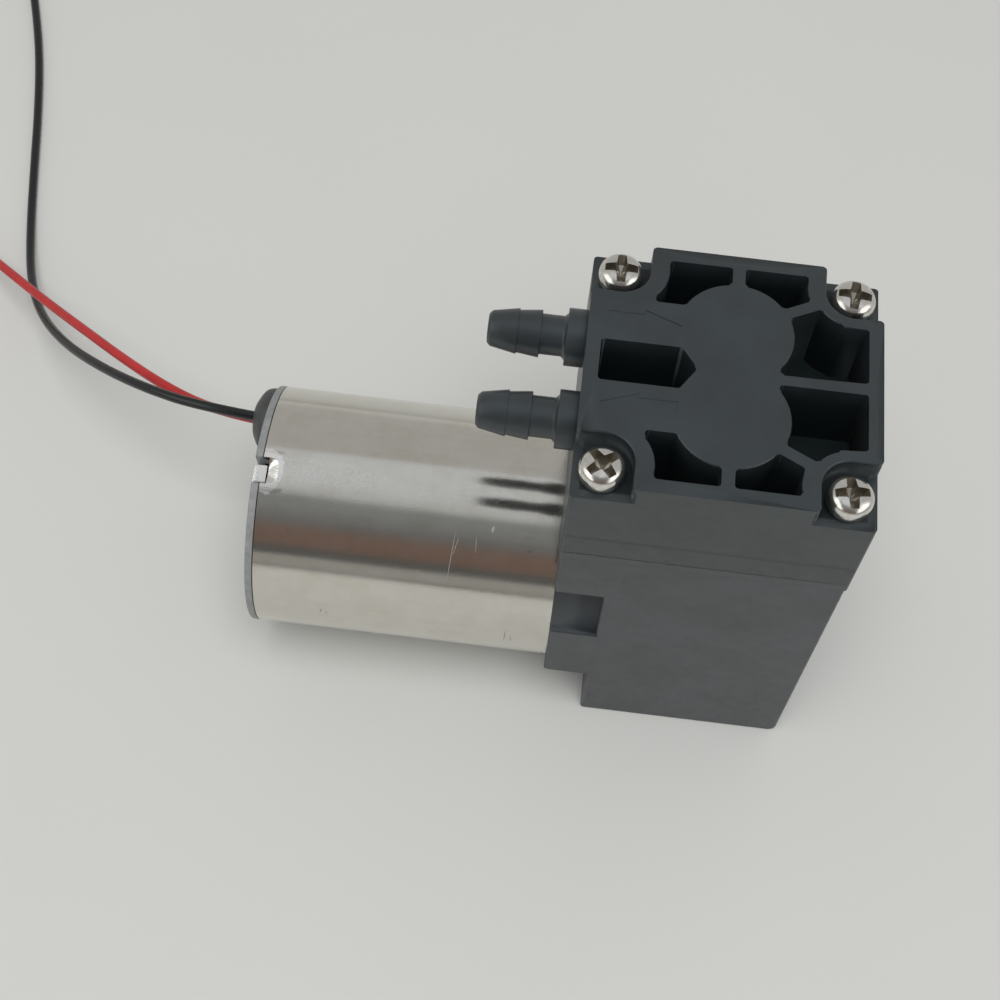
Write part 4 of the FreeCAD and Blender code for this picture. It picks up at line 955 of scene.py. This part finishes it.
def make_tab(name, middle_deg):
    """The tongue of the plate behind, flatter than the can, seen in the notch."""
    start_x = cap_low.x + TAB_INSET
    half = TAB_COLUMNS // 2
    bm = bmesh.new()
    rows = []
    for x in (start_x, start_x + TAB_LONG):
        for sink in (TAB_SINK, TAB_SINK + TAB_WALL):
            row = []
            for side in range(-half, half + 1):
                turn = TAB_HALF_DEG * side / half
                flat = can_radius / math.cos(math.radians(turn)) ** 0.5
                row.append(bm.verts.new(on_can(x, flat - sink, middle_deg + turn)))
            rows.append(row)
    loop = [rows[0], rows[2], rows[3], rows[1]]
    for a, b in zip(loop, loop[1:] + loop[:1]):
        for i in range(TAB_COLUMNS):
            bm.faces.new((a[i], a[i + 1], b[i + 1], b[i]))
    bm.faces.new([row[0] for row in loop])
    bm.faces.new([row[-1] for row in loop])
    bmesh.ops.recalc_face_normals(bm, faces=bm.faces)
    tab = new_piece(name, bm)
    edges = tab.modifiers.new("soft edges", "BEVEL")
    edges.width = TAB_EDGE
    edges.segments = TAB_EDGE_STEPS
    edges.limit_method = "ANGLE"
    baked(tab, TAB_SHARP_DEG)
    dress(tab, "can_nickel")
    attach(tab, "housing")


def make_rear_cap():
    """The plate that closes the can, with its rim."""
    cap = rounded_copy("rear_cap", "cap_rim", FINE_EDGE)
    dress(cap, "cap_grey")
    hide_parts("rear_cap")
    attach(cap, "housing")


def make_grommet():
    """A low dome with a round shoulder, through which both leads come out."""
    tall = cap_low.x - grommet_low.x
    foot = (grommet_high.y - grommet_low.y) / 2
    middle = (grommet_low + grommet_high) / 2
    centre = (cap_low.x, middle.y, middle.z)
    outline = [(GROMMET_FOOT, 0.0), (GROMMET_FOOT, foot - GROMMET_FOOT)]
    outline += [(-tall * out, foot * wide) for out, wide in GROMMET_SHAPE]
    for cut in GROMMET_CUTS:
        outline = softened(outline, cut)
    bm = bmesh.new()
    lathe(bm, outline, centre, ROUND_SIDES)
    grommet = new_piece("lead_dome", bm, GROMMET_SHARP_DEG)
    dress(grommet, "grommet_grey")
    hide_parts("lead_grommet")
    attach(grommet, "housing")


# Leads


def coil_points(before, coil):
    """A flat spiral that starts at the coil's entry and winds inwards."""
    entry = Vector(coil["entry"])
    way = Vector((entry.x - before[0], entry.y - before[1], 0)).normalized()
    side = coil["side"]
    radius = coil["radius"]
    centre = entry + Vector((way.y, -way.x, 0)) * side * radius
    begin = math.atan2(entry.y - centre.y, entry.x - centre.x)
    count = int(COIL_STEPS * coil["turns"])
    points = []
    for i in range(count + 1):
        turned = coil["turns"] * i / count
        angle = begin - side * 2 * math.pi * turned
        r = radius - COIL_PITCH / MM * turned
        points.append(centre + Vector((math.cos(angle), math.sin(angle), 0)) * r)
    return points


def twisted_tip(name, start, way):
    """The bare end's tinned strands twisted together, as one lobed rod."""
    bm = bmesh.new()
    side = way.orthogonal().normalized()
    other = way.cross(side)
    rings = []
    for k in range(TIP_STEPS + 1):
        share = k / TIP_STEPS
        taper = 1.0 - TIP_TAPER * max(0.0, share - TIP_TAPER_FROM) / (1 - TIP_TAPER_FROM)
        ring = []
        for i in range(TIP_SIDES):
            angle = 2 * math.pi * i / TIP_SIDES
            lobe = 1.0 - TIP_LOBE + TIP_LOBE * abs(math.cos(3 * angle))
            turn = angle + 2 * math.pi * TIP_TWISTS * share
            out = (side * math.cos(turn) + other * math.sin(turn)) * (TIP_R * lobe * taper)
            ring.append(bm.verts.new(start + way * TIP_LONG * share + out))
        rings.append(ring)
    for one, two in zip(rings, rings[1:]):
        for i in range(TIP_SIDES):
            j = (i + 1) % TIP_SIDES
            bm.faces.new((one[i], one[j], two[j], two[i]))
    bm.faces.new(rings[0])
    bm.faces.new(rings[-1])
    bmesh.ops.recalc_face_normals(bm, faces=bm.faces)
    tip = new_piece(name, bm)
    dress(tip, "tinned")
    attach(tip, "housing")
    return tip


def make_lead(colour, route, shift, coil):
    """A lead from the dome along its route into its coil, with its bare end."""
    middle = (grommet_low + grommet_high) / 2
    start = (grommet_low.x / MM + LEAD_DEEP, middle.y / MM + shift[0], middle.z / MM + shift[1])
    points = [Vector(start)] + [Vector(p) for p in route] + coil_points(route[-1], coil)
    curve = bpy.data.curves.new(colour + "_wire", "CURVE")
    curve.dimensions = "3D"
    curve.bevel_depth = LEAD_R
    curve.bevel_resolution = 6
    curve.resolution_u = 12
    curve.use_fill_caps = True
    spline = curve.splines.new("NURBS")
    spline.points.add(len(points) - 1)
    for point, place in zip(spline.points, points):
        point.co = (*(place * MM), 1.0)
    spline.order_u = 3
    spline.use_endpoint_u = True
    wire = bpy.data.objects.new(colour + "_wire", curve)
    bpy.context.scene.collection.objects.link(wire)
    curve.materials.append(finishes["lead_" + colour])
    end = points[-1] * MM
    way = (points[-1] - points[-2]).normalized()
    tip = twisted_tip(colour + "_strands", end - way * TIP_HIDDEN, way)
    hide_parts(colour + "_tip")
    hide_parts(colour + "_lead", colour + "_coil")
    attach(wire, "housing")


# Inner pieces


def dress_inside():
    """Every solid that no piece replaces keeps its shape and gets its finish."""
    for name, piece in nodes.items():
        if not piece.hide_render:
            dress(piece, node_slot[name])


# Surroundings


def make_floor():
    """A pale floor that keeps the shadow near the pump and runs into the backdrop further out."""
    bpy.ops.mesh.primitive_plane_add(size=FLOOR_WIDE, location=(0, 0, 0))
    floor = bpy.context.object
    floor.name = "floor"
    f = Finish("floor_pale", IOR=1.3)
    cloud = f.noise(60.0, 2.0)
    f.colour(f.mix(f.span(cloud, 0.3, 0.7), FLOOR_DARK, FLOOR_LIGHT))
    f.roughness(0.7)
    far = f.node("VectorMath", operation="LENGTH")
    f.feed(far.inputs[0], f.at(stretch=(1, 1, 0)))
    fade = f.span(far.outputs["Value"], *FLOOR_FADE_MM)
    seen = f.node("LightPath").outputs["Is Camera Ray"]
    glow = f.node("Emission", {"Color": (*BACKDROP, 1.0), "Strength": 1.0})
    blend = f.node("MixShader", {0: f.math("MULTIPLY", fade, seen), 1: f.surface.outputs["BSDF"]})
    f.feed(blend.inputs[2], glow.outputs["Emission"])
    f.feed(f.tree.nodes["Material Output"].inputs["Surface"], blend.outputs["Shader"])
    floor.data.materials.append(f.material)


def make_world():
    """The plain light on the object, the room that its metal mirrors, and the backdrop."""
    world = bpy.data.worlds.new("room")
    bpy.context.scene.world = world
    world.use_nodes = True
    w = Nodes(world.node_tree)
    way = w.node("TexCoord").outputs["Generated"]
    split = w.node("SeparateXYZ", {0: way}).outputs
    near_share = w.span(split["Y"], *NEAR_FROM_Y, interpolation_type="SMOOTHSTEP")
    sides = w.mix(near_share, w.ramp(split["Z"], FAR_SIDE), w.ramp(split["Z"], NEAR_SIDE))
    panel_share = w.span(w.math("ABSOLUTE", split["X"]), *PANELS_FROM_X)
    panel_share = w.math("MULTIPLY", panel_share, w.span(split["Y"], *PANELS_FROM_Y))
    panel_share = w.math("MULTIPLY", panel_share, w.span(split["Z"], *PANELS_FROM_Z))
    room = w.mix(panel_share, sides, PANELS)
    path = w.node("LightPath").outputs
    lit = w.mix(path["Is Glossy Ray"], SKY_LIGHT, room)
    seen = w.mix(path["Is Camera Ray"], lit, BACKDROP)
    background = w.tree.nodes["Background"]
    w.feed(background.inputs["Color"], seen)
    background.inputs["Strength"].default_value = 1.0


def make_lamp():
    """A round soft lamp overhead whose own reflection stays out of the metal."""
    light = bpy.data.lights.new("overhead", "AREA")
    light.shape = "DISK"
    light.size = LAMP_WIDE
    light.energy = LAMP_POWER
    lamp = bpy.data.objects.new("overhead", light)
    lamp.location = LAMP_PLACE
    way = Vector(LAMP_AIM) - Vector(LAMP_PLACE)
    lamp.rotation_euler = way.to_track_quat("-Z", "Y").to_euler()
    lamp.visible_glossy = False
    bpy.context.scene.collection.objects.link(lamp)


def make_camera():
    """The photograph's view."""
    lens = bpy.data.cameras.new("camera")
    lens.sensor_width = SENSOR_MM
    lens.lens = FOCAL_PX * lens.sensor_width / FRAME_PX
    lens.clip_start = 0.01
    camera = bpy.data.objects.new("camera", lens)
    camera.location = CAMERA_PLACE
    camera.rotation_euler = [math.radians(a) for a in CAMERA_TURN_DEG]
    bpy.context.scene.collection.objects.link(camera)
    bpy.context.scene.camera = camera


make_camera()
make_cover()
make_case()
make_cover_screws()
make_can()
make_rear_cap()
make_grommet()
make_lead("black", BLACK_ROUTE, BLACK_EXIT_SHIFT, BLACK_COIL)
make_lead("red", RED_ROUTE, RED_EXIT_SHIFT, RED_COIL)
dress_inside()
make_floor()
make_world()
make_lamp()
bpy.context.scene.view_settings.view_transform = "Standard"
